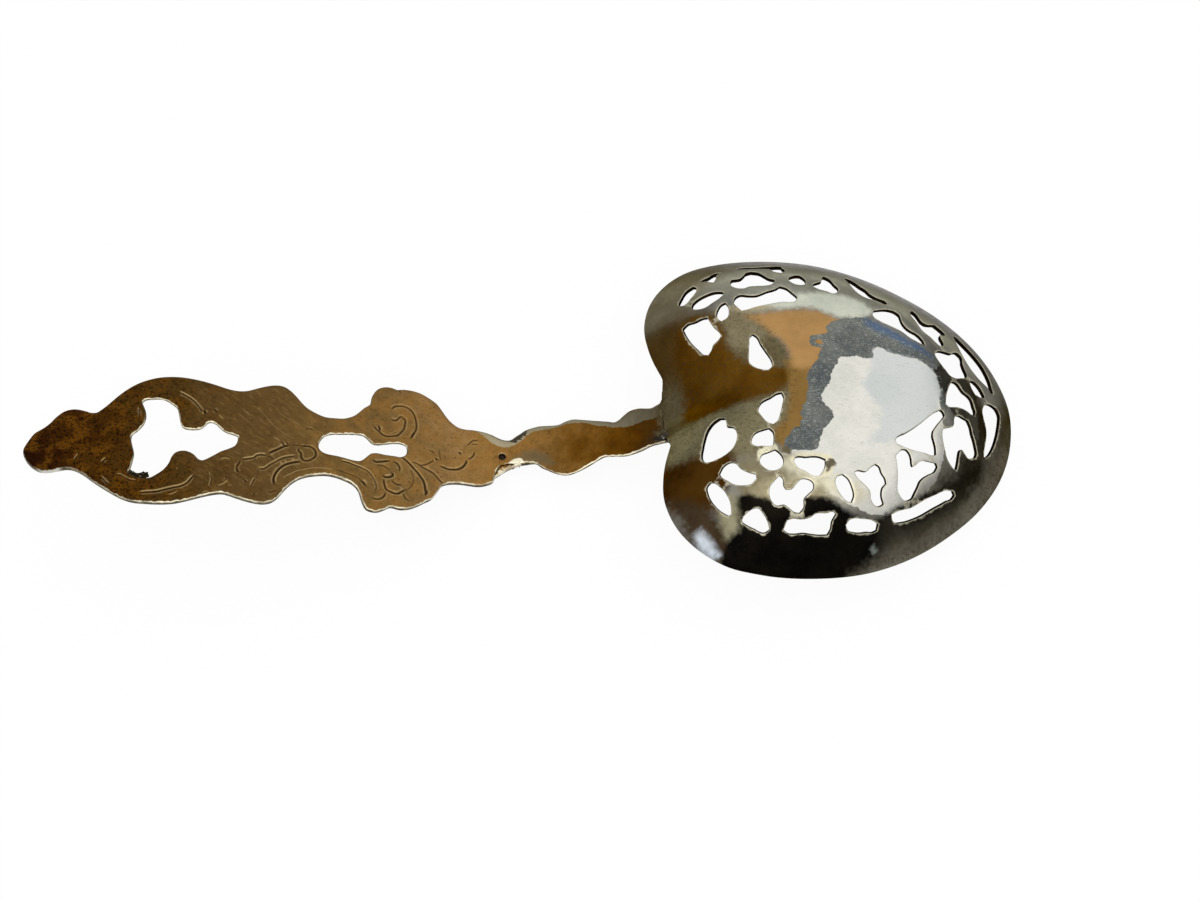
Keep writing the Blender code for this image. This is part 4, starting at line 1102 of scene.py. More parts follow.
class Paint(Nodes):
    """A metal material, with short words for the nodes that vary it."""

    def __init__(self, name, metallic):
        self.material = bpy.data.materials.new(name)
        self.material.use_nodes = True
        super().__init__(self.material.node_tree)
        self.shader = self.tree.nodes["Principled BSDF"]
        self.shader.inputs["Metallic"].default_value = metallic
        self.place = self.node("TexCoord").outputs["Object"]

    def field(self, name):
        return self.node("Attribute", attribute_name=name).outputs["Fac"]

    def noise(self, size, detail, shift=0.0, stretch=(1.0, 1.0, 1.0), turn=0.0):
        """Noise from 0 to 1 with lumps of about a size in millimetres, turned in plan and then stretched."""
        place = self.place
        if turn:
            place = self.node("Mapping", {"Vector": place, "Rotation": (0.0, 0.0, turn)}).outputs[0]
        moved = {"Vector": place, "Location": (shift, shift, shift), "Scale": stretch}
        place = self.node("Mapping", moved).outputs[0]
        inputs = {"Vector": place, "Scale": 1 / (size * MM), "Detail": detail}
        return self.node("TexNoise", inputs).outputs["Fac"]

    def mix(self, share, first, second):
        return self.node("Mix", {"Factor": share, 6: first, 7: second}, data_type="RGBA").outputs[2]

    def tinted(self, colour, value, tint, low, high, most=1.0, where=None):
        """A colour under a tint, whose share rises to most as a value goes from low to high."""
        share = self.ramp(value, low, high, 0.0, most)
        if where is not None:
            share = self.times(share, where)
        return self.mix(share, colour, tint)

    def stops(self, value, colours):
        """Colours that follow a value: pairs of value and colour, in rising order."""
        low, high = colours[0][0], colours[-1][0]
        spread = self.node("MapRange", {"Value": value, "From Min": low, "From Max": high})
        node = self.node("ValToRGB", {0: spread.outputs[0]})
        elements = node.color_ramp.elements
        while len(elements) < len(colours):
            elements.new(1.0)
        for element, (at, colour) in zip(elements, colours):
            element.position = (at - low) / (high - low)
            element.color = (*colour, 1.0)
        return node.outputs[0]

    def ragged(self, name, amount, size, shift=0.0):
        """A field in millimetres with a noise added, so that its border frays."""
        fray = self.ramp(self.noise(size, FRAY_DETAIL, shift), *FRAY_SPREAD, -amount, amount)
        return self.plus(self.field(name), fray)

    def finish(self, colour, roughness, bump, bump_depth):
        """Joins colour, roughness and the height that bumps to the shader."""
        bumps = self.node("Bump", {"Strength": 1.0, "Distance": bump_depth * MM, "Height": bump})
        looks = {"Base Color": colour, "Roughness": roughness, "Normal": bumps.outputs[0]}
        for name, value in looks.items():
            self.give(self.shader.inputs[name], value)
        return self.material


# In what follows a grain is a noise's size, detail, shift, stretch and turn, a tint is a colour with the low,
# the high and the most of its ramp, and a fray is what Paint.ragged takes after the field's name
FRAY_DETAIL = 4.0
FRAY_SPREAD = (0.2, 0.8)
MIDDLE = (0.3, 0.7)
FINE_GRAIN = (0.3, 2.0)

# Brown along the handle and stem, partly tarnish and partly a painted reflection of warm surroundings, from
# the heel to the handle's end, in handle percents
BROWNS = (
    (-30, srgb(70, 46, 12)), (-24, srgb(76, 46, 5)), (-18, srgb(98, 62, 10)), (-12, srgb(112, 76, 24)),
    (-6, srgb(118, 86, 40)), (0, srgb(138, 102, 52)), (6, srgb(148, 112, 60)), (13, srgb(156, 121, 74)),
    (20, srgb(136, 105, 61)), (30, srgb(120, 93, 52)), (40, srgb(114, 88, 48)), (50, srgb(99, 75, 41)),
    (60, srgb(92, 69, 36)), (70, srgb(78, 56, 23)), (80, srgb(74, 47, 12)), (88, srgb(64, 36, 6)),
    (95, srgb(52, 25, 5)), (101, srgb(40, 15, 4)),
)
BROWN_CLOUD = (5, 3.0, 7.0)
BROWN_SHIFT = (0.25, 0.75, -5, 5)
BROWN_MOTTLE = (1.1, 4.0, 3.0)
MOTTLE_TINT = (srgb(46, 28, 8), 0.45, 0.8, 0.16)
FINE_TINT = (srgb(54, 36, 12), 0.5, 0.75, 0.35)
BROWN_ROUGHNESS = (0.36, 0.52)
BROWN_FINE_SHARE = 0.4
BROWN_BUMP = 0.03

# Layers on the brown: grain, tint, and ramps along the handle that bound the layer
SHELL_STREAKS = (0.5, 4.0, 5.0, (0.22, 1.0, 1.0), math.radians(38))
NECK_PART = ((50, 36), (-17, -6))
END_PART = ((48, 85),)
SHELL_PART = ((30, 40), (72, 58))
BROWN_LAYERS = (
    ((2.6, 3.0, 23.0), (srgb(150, 108, 52), 0.42, 0.62, 0.45), NECK_PART),
    ((0.4, 3.0, 29.0), (srgb(52, 32, 10), 0.6, 0.72, 0.6), NECK_PART),
    ((2.4, 4.0, 17.0), (srgb(108, 68, 14), 0.45, 0.62, 0.6), END_PART),
    ((0.45, 4.0, 11.0), (srgb(18, 7, 2), 0.46, 0.66, 0.8), END_PART),
    (SHELL_STREAKS, (srgb(132, 106, 62), 0.5, 0.68, 0.35), SHELL_PART),
)

# Grey painted reflection on the bevel along the far edge of stem and neck, in handle percents
HIGH_GREYS = (
    (-30, srgb(98, 91, 72)), (-25, srgb(106, 99, 80)), (-15, srgb(140, 134, 112)),
    (-4, srgb(150, 143, 118)), (4, srgb(172, 162, 134)), (10, srgb(160, 148, 118)),
)

# Painted light and shade at the neck and along the far edge, and dark crumbs: field, fray and tint.
# neck_shade is painted shade, high_bevel a painted grey reflection and neck_facet a painted highlight
NECK_LIGHT_AND_CRUMBS = (
    ("neck_shade", (0.3, 0.8), srgb(106, 94, 70), -0.6, 1.2, 0.7),
    ("high_bevel", (0.14, 0.35), HIGH_GREYS, -0.1, 0.12, 0.9),
    ("neck_facet", (0.15, 0.5), srgb(236, 228, 203), -0.1, 0.2),
    ("neck_crumbs", (0.4, 0.35, 5.0), srgb(28, 22, 13), 0.0, 0.25, 0.85),
)

# Tints of the struck lines: a painted highlight on their ridges and lips, and painted shade in their grooves
LIP_HIGHLIGHT_TINT = (srgb(186, 160, 112), 0.15, 0.9, 0.7)
GROOVE_SHADE_TINT = (srgb(38, 24, 8), 0.15, 0.85, 0.85)

# The olive metal at the heel, and the dark solder at the seam's near corner with painted highlights on it as
# sparks
OLIVES = (srgb(94, 84, 60), srgb(76, 66, 43))
OLIVE_MOTTLE = (0.35, 0.65)
OLIVE_FRAY = (1.3, 1.2, 9.0)
OLIVE_START = (-27.6, -29.6)
CORNER_FRAY = (0.45, 0.6)
CORNER_TINT = (srgb(30, 26, 21), 0.5, 0.9, 0.9)
SPARK_GRAIN = (0.6, 2.0, 4.0)
SPARK_HIGHLIGHT_TINT = (srgb(205, 200, 190), 0.6, 0.68)
SPARK_CORNER = (0.6, 1.0)

# Painted highlights along the edges of the brown metal, painted shade on the wall below them and a painted
# shadow at its foot, and a painted glint near the handle's end: colours of far and near edges, of the wall
# and of its foot, and the ramps of distance, noise, place and side that bound them
EDGE_GRAIN = (0.8, 3.0, 2.0)
EDGE_FRAY = (0.3, 0.7, -0.12, 0.12)
NEAR_SIDE = (0.1, -0.5)
EDGE_HIGHLIGHT_COLOURS = (srgb(112, 100, 74), srgb(236, 229, 200))
EDGE_HIGHLIGHT_REACH = (0.24, 0.04)
EDGE_HIGHLIGHT_GRAIN = (3.0, 2.0, 6.0)
EDGE_HIGHLIGHT_PATCHES = (0.33, 0.58, 0.4, 1.0)
EDGE_HIGHLIGHT_ALONG = (90, 76, 0.3, 1.0)
EDGE_HIGHLIGHT_PEG = (-0.2, 0.2, 1.0, 0.25)
WALL_SHADE_COLOURS = (srgb(74, 60, 34), srgb(128, 114, 80))
WALL_GRAIN = (0.9, 3.0, 8.0)
WALL_MOTTLE = (0.45, 0.65)
WALL_START = (-0.12, -0.3)
FOOT_SHADOW_TINT = (srgb(40, 31, 18), -0.5, -0.8)
GLINT_PART = ((91.6, 93), (97.2, 95.6))
GLINT_TINT = (srgb(214, 212, 200), 0.15, -0.1, 0.9)

# The fronts, which the photograph does not show, are silver with a light tarnish
HANDLE_FRONT = (srgb(150, 138, 108), srgb(112, 97, 66))
BOWL_FRONT = (srgb(176, 172, 158), srgb(138, 132, 114))


def brown_tarnish_and_reflection(paint, fine, mottle):
    """The brown, partly tarnish and partly a painted reflection of warm surroundings, that darkens from the
    neck to both ends, with dark spots near the handle's end.
    """
    along = paint.plus(paint.field("along"), paint.ramp(paint.noise(*BROWN_CLOUD), *BROWN_SHIFT))
    # Brown that is partly tarnish and partly a painted reflection
    colour = paint.stops(along, BROWNS)
    colour = paint.tinted(colour, mottle, *MOTTLE_TINT)
    colour = paint.tinted(colour, fine, *FINE_TINT)
    for grain, tint, bounds in BROWN_LAYERS:
        colour = paint.tinted(colour, paint.noise(*grain), *tint, where=paint.part(along, *bounds))
    return colour


def neck_light_and_crumbs(paint, colour):
    """Painted grey reflection on the bevel along the far edge, painted shade and a painted highlight on the
    facet at the neck, and the crumbs there.
    """
    for name, fray, tint, *ramp in NECK_LIGHT_AND_CRUMBS:
        if tint is HIGH_GREYS:
            tint = paint.stops(paint.field("along"), HIGH_GREYS)
        colour = paint.tinted(colour, paint.ragged(name, *fray), tint, *ramp)
    return colour


def heel_solder(paint, colour, mottle):
    """Olive metal from the seam on, and the dark lumps of solder that ran out at the seam's near corner, with
    painted highlights (sparks) on them.
    """
    olive = paint.mix(paint.ramp(mottle, *OLIVE_MOTTLE), *OLIVES)
    colour = paint.tinted(colour, paint.ragged("along", *OLIVE_FRAY), olive, *OLIVE_START)
    corner = paint.ragged("corner", *CORNER_FRAY)
    colour = paint.tinted(colour, corner, *CORNER_TINT)
    # Painted highlights on the solder lumps, as sparks
    sparks = paint.noise(*SPARK_GRAIN)
    return paint.tinted(colour, sparks, *SPARK_HIGHLIGHT_TINT, where=paint.ramp(corner, *SPARK_CORNER))


def edge_highlight_and_shade(paint, colour):
    """Painted edge highlights: a thin bright line, cream on the near side and grey on the far one, above a
    wall painted dark as shade, with a painted shadow at its foot and a painted glint near the handle's end.
    """
    along = paint.field("along")
    edge = paint.plus(paint.field("gap"), paint.ramp(paint.noise(*EDGE_GRAIN), *EDGE_FRAY))
    near = paint.ramp(paint.field("side"), *NEAR_SIDE)
    # A painted highlight along the edges, in patches, weaker towards the handle's end and round the peg
    lit_edge = paint.times(
        paint.ramp(edge, *EDGE_HIGHLIGHT_REACH),
        paint.ramp(paint.noise(*EDGE_HIGHLIGHT_GRAIN), *EDGE_HIGHLIGHT_PATCHES),
        paint.ramp(along, *EDGE_HIGHLIGHT_ALONG),
        paint.ramp(paint.field("peg_ring"), *EDGE_HIGHLIGHT_PEG),
    )
    colour = paint.mix(lit_edge, colour, paint.mix(near, *EDGE_HIGHLIGHT_COLOURS))
    # Painted shade on the wall, a painted shadow at its foot, and a painted glint near the handle's end
    wall = paint.mix(paint.ramp(paint.noise(*WALL_GRAIN), *WALL_MOTTLE), *WALL_SHADE_COLOURS)
    colour = paint.tinted(colour, edge, wall, *WALL_START)
    colour = paint.tinted(colour, edge, *FOOT_SHADOW_TINT)
    return paint.tinted(colour, edge, *GLINT_TINT, where=paint.times(paint.part(along, *GLINT_PART), near))


def front_side(paint, colour, mottle, first, second):
    """The front of a piece, away from the photograph's camera: silver with a light tarnish."""
    return paint.mix(paint.field("front"), colour, paint.mix(paint.ramp(mottle, *MIDDLE), first, second))


def brown_metal(name):
    """Silver under a brown that is partly tarnish and partly a painted reflection, with painted highlights on
    the edges and on the struck lines' ridges, and painted shade in their grooves and on the walls.
    """
    paint = Paint(name, 1.0)
    fine, mottle = paint.noise(*FINE_GRAIN), paint.noise(*BROWN_MOTTLE)
    colour = brown_tarnish_and_reflection(paint, fine, mottle)
    colour = neck_light_and_crumbs(paint, colour)
    # A painted highlight on the ridges and lips, and painted shade in the grooves
    colour = paint.tinted(colour, paint.field("lip"), *LIP_HIGHLIGHT_TINT)
    colour = paint.tinted(colour, paint.field("groove"), *GROOVE_SHADE_TINT)
    colour = heel_solder(paint, colour, mottle)
    colour = edge_highlight_and_shade(paint, colour)
    colour = front_side(paint, colour, mottle, *HANDLE_FRONT)
    roughness = paint.ramp(mottle, *MIDDLE, *BROWN_ROUGHNESS)
    height = paint.plus(paint.times(fine, BROWN_FINE_SHARE), mottle)
    return paint.finish(colour, roughness, height, BROWN_BUMP)


# Painted reflections of the room, painted highlights and painted shade on the bowl's back, over brown and
# olive at the heel and the lobes that is partly tarnish and partly painted reflection, from the lowest layer
# up: name, two colours that mottle, width of the border, how far it frays, and outline in the bowl's units.
# The white, cool, grey, blue, pale, orange, cream_low, olive_low, black, far_bars, tip and rim patches are
# painted reflections, the shine, spark, cream_wing, cream_drop and olive_high patches painted highlights, and
# shade_low, dark_wing and dark_drop painted shade
BOWL_ZONES = (
    ("far_lobe", srgb(132, 125, 104), srgb(110, 102, 78), 5.0, 0.4, ((-2, 48), (2, 66), (8, 84), (18, 96),
     (28, 90), (24, 72), (17, 58), (11, 46))),
    ("far_bars", srgb(176, 176, 158), srgb(152, 151, 134), 8.0, 0.4, ((14, 56), (22, 54), (34, 56),
     (48, 56), (60, 46), (70, 36), (80, 24), (88, 14), (92, 22), (84, 40), (74, 56), (62, 69), (48, 78),
     (34, 82), (24, 77), (17, 66))),
    ("heel", srgb(108, 99, 74), srgb(94, 84, 58), 2.5, 0.4, ((-2, 48), (10, 46), (20, 42), (27, 38),
     (31, 28), (34, 18), (36, 0), (34, -16), (31, -28), (28, -40), (22, -46), (14, -40), (4, -44),
     (-2, -46))),
    ("olive_heel", srgb(130, 123, 95), srgb(112, 105, 78), 1.5, 0.4, ((6, -12), (12, -13.5), (22, -13.5),
     (29, -11.5), (33, -8), (33, -16), (30, -26), (26, -40), (18, -44), (8, -42), (3, -32), (3, -18))),
    ("olive_high", srgb(142, 133, 106), srgb(122, 112, 86), 3.0, 0.4, ((19, 42), (24, 40), (27, 34),
     (29.5, 26), (26, 20), (22, 18), (19.5, 24), (18.5, 32))),
    ("brown_left", srgb(84, 62, 27), srgb(74, 52, 20), 6.0, 0.4, ((-3, 24), (-3, 42), (6, 48), (14, 44),
     (16, 20), (12, 10), (5, 16))),
    ("brown_heel", srgb(80, 50, 5), srgb(98, 68, 18), 1.7, 0.4, ((9, 41), (11, 43.5), (16, 40), (18, 31),
     (18.5, 22), (22, 12), (28, 7.5), (34, 5.5), (35, 0), (31, -7), (27, -10), (22, -12), (12, -11.5),
     (8, -9), (9, 2), (8, 16), (7, 30))),
    ("low_lobe", srgb(56, 31, 4), srgb(76, 50, 14), 2.6, 0.6, ((-1, -33), (8, -36), (16, -37), (17, -46),
     (15, -56), (13, -66), (8, -66), (3, -60), (-1, -48))),
    ("low_left", srgb(72, 58, 42), srgb(56, 44, 30), 2.5, 0.5, ((2.5, -53.5), (4.1, -64.6), (6.2, -77.2),
     (9.7, -85.1), (15.8, -91.1), (16.7, -81.9), (13, -70.4), (8.6, -61.1))),
    ("orange_low", srgb(130, 100, 52), srgb(144, 111, 62), 1.6, 0.3, ((33, 10), (42, 14), (42, -8),
     (37, -22), (33, -38), (28.5, -41), (27, -36), (27.5, -30), (30, -27), (31.5, -20), (32.5, -13),
     (33, -5), (33.5, 3))),
    ("orange_high", srgb(177, 137, 86), srgb(164, 127, 79), 1.8, 0.2, ((24, 37), (30, 39), (36, 40.8),
     (41, 41), (46, 39), (50, 34), (47, 24), (44, 14), (39, 5), (35, 6), (34.5, 15), (33, 22), (30, 27),
     (28, 32))),
    ("pale_left", srgb(186, 174, 142), srgb(168, 154, 120), 2.0, 0.3, ((20, 43.5), (30, 46), (34, 44),
     (30, 41), (24, 40))),
    ("pale", srgb(208, 210, 193), srgb(186, 190, 174), 1.6, 0.3, ((30, 44), (42, 52), (50, 52), (57, 46),
     (60, 40), (57, 37), (50, 37), (42, 43), (33, 42))),
    ("grey", srgb(116, 118, 111), srgb(80, 85, 86), 0.25, 0.3, ((75, 2), (74.5, 14), (73, 15.5), (68, 20),
     (64, 26), (60, 31), (57, 35.5), (55, 36.5), (52, 36), (49, 34.5), (46.5, 32), (45.5, 29.5), (46, 27),
     (44.5, 26), (42, 25.5), (40.5, 23.5), (40, 21), (41, 18.5), (42.5, 18), (43.3, 17), (42.5, 14),
     (42, 11), (41, 8), (39.5, 5), (38.5, 1), (38.3, -4), (37.8, -8), (37.2, -13), (35.8, -17), (35, -20),
     (34.7, -26), (34, -29), (32, -31), (31, -34), (29.5, -37), (29, -40), (30.5, -42), (33, -43),
     (36, -50), (60, -50), (74, -22))),
    ("orange_spot", srgb(184, 128, 58), srgb(160, 112, 50), 0.9, 0.2, ((42.1, 21), (43, 22.7),
     (44.1, 21.4), (43.7, 19.8), (42.6, 19.6))),
    ("blue", srgb(86, 105, 131), srgb(82, 95, 112), 1.4, 0.5, ((57, 36.5), (60, 33), (64, 28), (68, 22.4),
     (71, 18.6), (74, 14), (73.2, 11.6), (70.5, 15.4), (67, 18.6), (63, 23.6), (59, 29), (56.5, 33))),
    ("white", srgb(228, 226, 217), srgb(214, 213, 204), 0.25, 0.25, ((48, 11.5), (50, 12), (57, 11),
     (57.3, 16), (59, 18), (62, 14.5), (66, 11.5), (70, 9.5), (72, 5), (73.5, 0), (74.5, -5), (73, -12),
     (73, -22), (73, -35), (71, -50), (66, -63), (60, -71), (50, -73), (45, -70), (40, -66), (33, -66),
     (26, -62), (22, -54), (24, -46), (30, -44), (33, -43), (36, -43.5), (38, -42), (38.5, -38),
     (40, -32), (42, -28), (43.3, -23), (43, -19), (41.5, -17), (41, -13), (42, -8), (43.5, -5),
     (44.5, -1), (45, 3), (47, 8))),
    ("cool", srgb(203, 207, 204), srgb(211, 213, 210), 1.4, 0.4, ((58, 17), (55, 3), (52.5, -4.4),
     (54, -12), (56.4, -19), (54.8, -31), (50, -40), (58, -38), (66, -30), (71, -20), (73, -12),
     (74.5, -4), (72, 5), (69, 9.5), (63, 13.5))),
    ("olive_low", srgb(134, 126, 102), srgb(116, 107, 82), 2.2, 0.5, ((16.5, -52), (18, -44), (28, -44),
     (34, -47), (38, -56), (41, -67), (34, -70), (24, -68), (18, -65))),
    ("cream_low", srgb(226, 221, 196), srgb(196, 190, 162), 3.0, 0.4, ((27, -49), (31, -47), (35, -50),
     (40, -57), (46, -60), (50, -66), (46, -69), (41, -66), (36, -60), (31, -56))),
    ("cream_wing", srgb(240, 234, 206), srgb(222, 214, 184), 0.8, 0.3, ((30.2, -47.5), (31.4, -45.5),
     (34.8, -44.5), (39.2, -45), (41, -47), (41.6, -50), (39.5, -57.5), (37, -58.5), (32.4, -54),
     (30.6, -50.2))),
    ("dark_wing", srgb(120, 112, 92), srgb(88, 80, 62), 0.5, 0.3, ((39.9, -48.5), (40.9, -47.5),
     (41.8, -50.8), (40.6, -52.9), (39, -55), (39, -50))),
    ("cream_drop", srgb(236, 230, 200), srgb(214, 206, 172), 0.6, 0.3, ((21.8, -47.3), (22.4, -43.5),
     (24.2, -40.7), (26.5, -40), (28, -41), (26.7, -45.3), (24, -48.5))),
    ("dark_drop", srgb(128, 118, 96), srgb(96, 86, 64), 0.5, 0.3, ((28.1, -42), (29.7, -41), (31.3, -43),
     (30.7, -45), (28.9, -44.6))),
    ("shade_low", srgb(112, 107, 92), srgb(92, 87, 73), 7.0, 0.4, ((62, -63), (68, -56), (72.5, -48),
     (75, -36), (80, -36), (79, -52), (71, -63), (63, -71))),
    ("tip_bars", srgb(58, 54, 45), srgb(44, 40, 32), 4.0, 0.4, ((76, 10), (81, 9), (85, 3), (88, -7),
     (90, -20), (89, -34), (85, -45), (80, -50), (76, -46), (78, -34), (77, -22), (75, -10))),
    ("tip_dark", srgb(48, 46, 40), srgb(70, 68, 60), 0.6, 0.4, ((73, 4), (76, 10), (80, 9), (83, 2),
     (85, -10), (85, -28), (81, -33), (77, -22), (75, -14), (74, -4))),
    ("black", srgb(9, 8, 7), srgb(20, 17, 13), 1.1, 0.25, ((16.4, -63.7), (18.7, -61.8), (22.2, -64.5),
     (25.9, -66.5), (29.6, -66.8), (34.6, -66.6), (38.5, -66.8), (42.5, -70.5), (46, -74), (50.6, -75.7),
     (58.9, -68.4), (69.5, -58.9), (76, -54), (82, -56), (80, -75), (70, -95), (58, -110), (25, -110),
     (13, -92), (14.5, -80))),
    ("right_rim", srgb(80, 76, 64), srgb(62, 58, 48), 6.0, 0.5, ((56, -76), (66, -68), (76, -58),
     (84, -46), (90, -30), (93, -10), (97, 4), (105, 4), (105, -60), (82, -98), (54, -108))),
    ("tip_black", srgb(38, 36, 28), srgb(26, 24, 18), 3.5, 0.5, ((71, -55), (75, -50), (80.5, -42),
     (85, -38.5), (86.5, -41), (85, -49), (81.5, -56), (78, -61.5), (71.7, -69.4), (65.5, -74.6),
     (59.5, -78.6), (55.3, -81.7), (55, -78), (59, -74.3), (73, -61.7))),
    ("outer_rim", srgb(106, 101, 89), srgb(86, 81, 69), 3.0, 0.5, ((46.5, -97), (50, -93.5),
     (54.4, -89.5), (61.8, -84), (68.9, -77.5), (75.7, -69), (80.9, -61), (85, -52.5), (88, -44.5),
     (91.3, -35), (94.7, -25), (100, -10), (110, -10), (105, -60), (82, -105), (54, -115))),
    ("rim_spark", srgb(158, 166, 158), srgb(120, 126, 118), 0.9, 0.2, ((51.4, -86.3), (52.3, -84.8),
     (53.6, -85.9), (52.6, -87.6))),
    ("shine_blue", srgb(220, 228, 236), srgb(206, 215, 224), 1.7, 0.2, ((7.2, -73.3), (8.5, -72),
     (10.8, -77.5), (13.2, -85), (11.4, -85.7), (9, -81.4))),
    ("shine_cream", srgb(158, 154, 126), srgb(126, 119, 92), 1.8, 0.3, ((13, -60), (16.5, -61),
     (17.5, -76), (14.5, -79), (13, -70))),
)
ZONE_FRAY_SIZE = 1.0

# The bowl's metal below the stains and painted reflections: colours of its rim, tint of its reflections at a
# slant, and its noises
RIM_BASE = (srgb(132, 130, 123), srgb(114, 112, 104))
RIM_MOTTLE = (0.35, 0.65)
BOWL_EDGE_TINT = (0.35, 0.34, 0.32)
BOWL_MOTTLE = (1.3, 4.0, 3.0)
BOWL_CLOUD = (6, 3.0, 7.0)
CLOUD_SHARE = 0.7
BOWL_ROUGHNESS = (0.2, 0.32)
BOWL_BUMP = 0.008

# Specks over the stains and painted reflections, all over and on the rough places at the outer rim and the
# heel
BOWL_FINE_TINT = (srgb(60, 52, 36), 0.58, 0.85, 0.25)
SPECK_GRAIN = (0.5, 4.0, 41.0)
SPECK_TINT = (srgb(52, 46, 36), 0.48, 0.66, 0.5)
ROUGH_RIM = (-0.4, 0.6)
ROUGH_HEEL = (-0.6, 0.6, 0, 0.7)

# Edges of the bowl's openings: a painted highlight above walls painted dark as shade
BOWL_EDGE_GRAIN = (0.9, 3.0, 2.0)
BOWL_EDGE_FRAY = (0.25, 0.75, -0.16, 0.16)
BOWL_EDGE_HIGHLIGHT_TINT = (srgb(196, 190, 166), 0.28, 0.05, 0.65)
BOWL_WALL_SHADE_TINT = (srgb(30, 23, 14), 0.02, -0.14)

# Scratches: bright ones and specks in the grey band beside the white, thin grey ones in the white
BAND_GREY = (0, 0.4)
BAND_WHITE = (0, -0.4)
SCRATCH_COLOUR = srgb(168, 172, 168)
SCRATCH_GRAIN = (0.22, 2.0, 13.0, (0.12, 1.0, 1.0))
SCRATCH_RAMP = (0.58, 0.7, 0, 0.5)
NICK_GRAIN = (0.35, 3.0, 21.0)
NICK_RAMP = (0.56, 0.7, 0, 0.6)
THIN_GRAIN = (0.3, 2.0, 31.0, (0.1, 0.8, 1.0))
THIN_TINT = (srgb(176, 174, 166), 0.6, 0.72, 0.3)
THIN_WHITE = (0, 0.5)


def scratches(paint, colour):
    """Fine bright scratches and nicks in the bowl's grey band, and thin grey scratches in its white."""
    white = paint.field("white")
    band = paint.times(paint.ramp(paint.field("grey"), *BAND_GREY), paint.ramp(white, *BAND_WHITE))
    across = paint.ramp(paint.noise(*SCRATCH_GRAIN), *SCRATCH_RAMP)
    nicks = paint.ramp(paint.noise(*NICK_GRAIN), *NICK_RAMP)
    bright = paint.times(paint.math("MAXIMUM", across, nicks), band)
    colour = paint.mix(bright, colour, SCRATCH_COLOUR)
    return paint.tinted(colour, paint.noise(*THIN_GRAIN), *THIN_TINT, where=paint.ramp(white, *THIN_WHITE))


def bowl_stains_and_reflections(paint, mottle):
    """The bowl's metal under all its stains and its painted reflections, highlights and shade."""
    cloud = paint.noise(*BOWL_CLOUD)
    blend = paint.plus(paint.times(cloud, CLOUD_SHARE), paint.times(mottle, 1 - CLOUD_SHARE))
    patches = paint.ramp(blend, *MIDDLE)
    colour = paint.mix(paint.ramp(cloud, *RIM_MOTTLE), *RIM_BASE)
    # Painted reflections, highlights and shade, and tarnish at the heel, layer by layer
    for number, (name, first, second, border, fray, _) in enumerate(BOWL_ZONES):
        depth = paint.ragged(name, fray, ZONE_FRAY_SIZE, float(number))
        colour = paint.tinted(colour, depth, paint.mix(patches, first, second), -border / 2, border / 2)
    return colour


def bowl_metal():
    """Polished silver with tarnish and painted reflections at the heel, painted reflections, highlights and
    shade elsewhere, dark ones among them, a painted highlight on the edges of the piercings and painted shade
    on their walls.
    """
    paint = Paint("bowl_silver", 1.0)
    paint.give(paint.shader.inputs["Specular Tint"], BOWL_EDGE_TINT)
    mottle = paint.noise(*BOWL_MOTTLE)
    colour = bowl_stains_and_reflections(paint, mottle)
    colour = paint.tinted(colour, paint.noise(*FINE_GRAIN), *BOWL_FINE_TINT)
    rim, heel_part = paint.field("outer_rim"), paint.field("heel")
    rough = paint.math("MAXIMUM", paint.ramp(rim, *ROUGH_RIM), paint.ramp(heel_part, *ROUGH_HEEL))
    colour = paint.tinted(colour, paint.noise(*SPECK_GRAIN), *SPECK_TINT, where=rough)
    colour = scratches(paint, colour)
    gap = paint.field("gap")
    # A painted highlight along the edges of the openings, and painted shade on the walls
    edge = paint.plus(gap, paint.ramp(paint.noise(*BOWL_EDGE_GRAIN), *BOWL_EDGE_FRAY))
    colour = paint.tinted(colour, edge, *BOWL_EDGE_HIGHLIGHT_TINT, where=paint.field("opening"))
    colour = paint.tinted(colour, gap, *BOWL_WALL_SHADE_TINT)
    colour = front_side(paint, colour, mottle, *BOWL_FRONT)
    return paint.finish(colour, paint.ramp(mottle, *MIDDLE, *BOWL_ROUGHNESS), mottle, BOWL_BUMP)


# The peg's head, painted near black as the shade at the bottom of its hole, and the dirt in the eye
PEG_METALLIC = 0.6
PEG_GRAIN = (0.25, 3.0)
PEG_MOTTLE = (0.4, 0.7)
PEG_SHADE_COLOURS = (srgb(24, 15, 8), srgb(46, 32, 18))
PEG_ROUGHNESS = (0.45, 0.65)
PEG_BUMP = 0.05
DIRT_GRAIN = (0.3, 3.0, 2.0)
DIRT_MOTTLE = (0.35, 0.6)
DIRT_COLOURS = (srgb(14, 12, 8), srgb(48, 42, 28))
DIRT_SPECKS = (0.5, 2.0, 9.0)
DIRT_SPECK_TINT = (srgb(150, 142, 116), 0.6, 0.68)
DIRT_ROUGHNESS = (0.5, 0.7)
DIRT_BUMP = 0.08


def peg_metal():
    """The peg's head, painted near black as the shade at the bottom of its hole."""
    paint = Paint("peg_silver", PEG_METALLIC)
    grain = paint.noise(*PEG_GRAIN)
    # Painted near black as the shade at the bottom of the peg's hole
    colour = paint.mix(paint.ramp(grain, *PEG_MOTTLE), *PEG_SHADE_COLOURS)
    return paint.finish(colour, paint.ramp(grain, *MIDDLE, *PEG_ROUGHNESS), grain, PEG_BUMP)


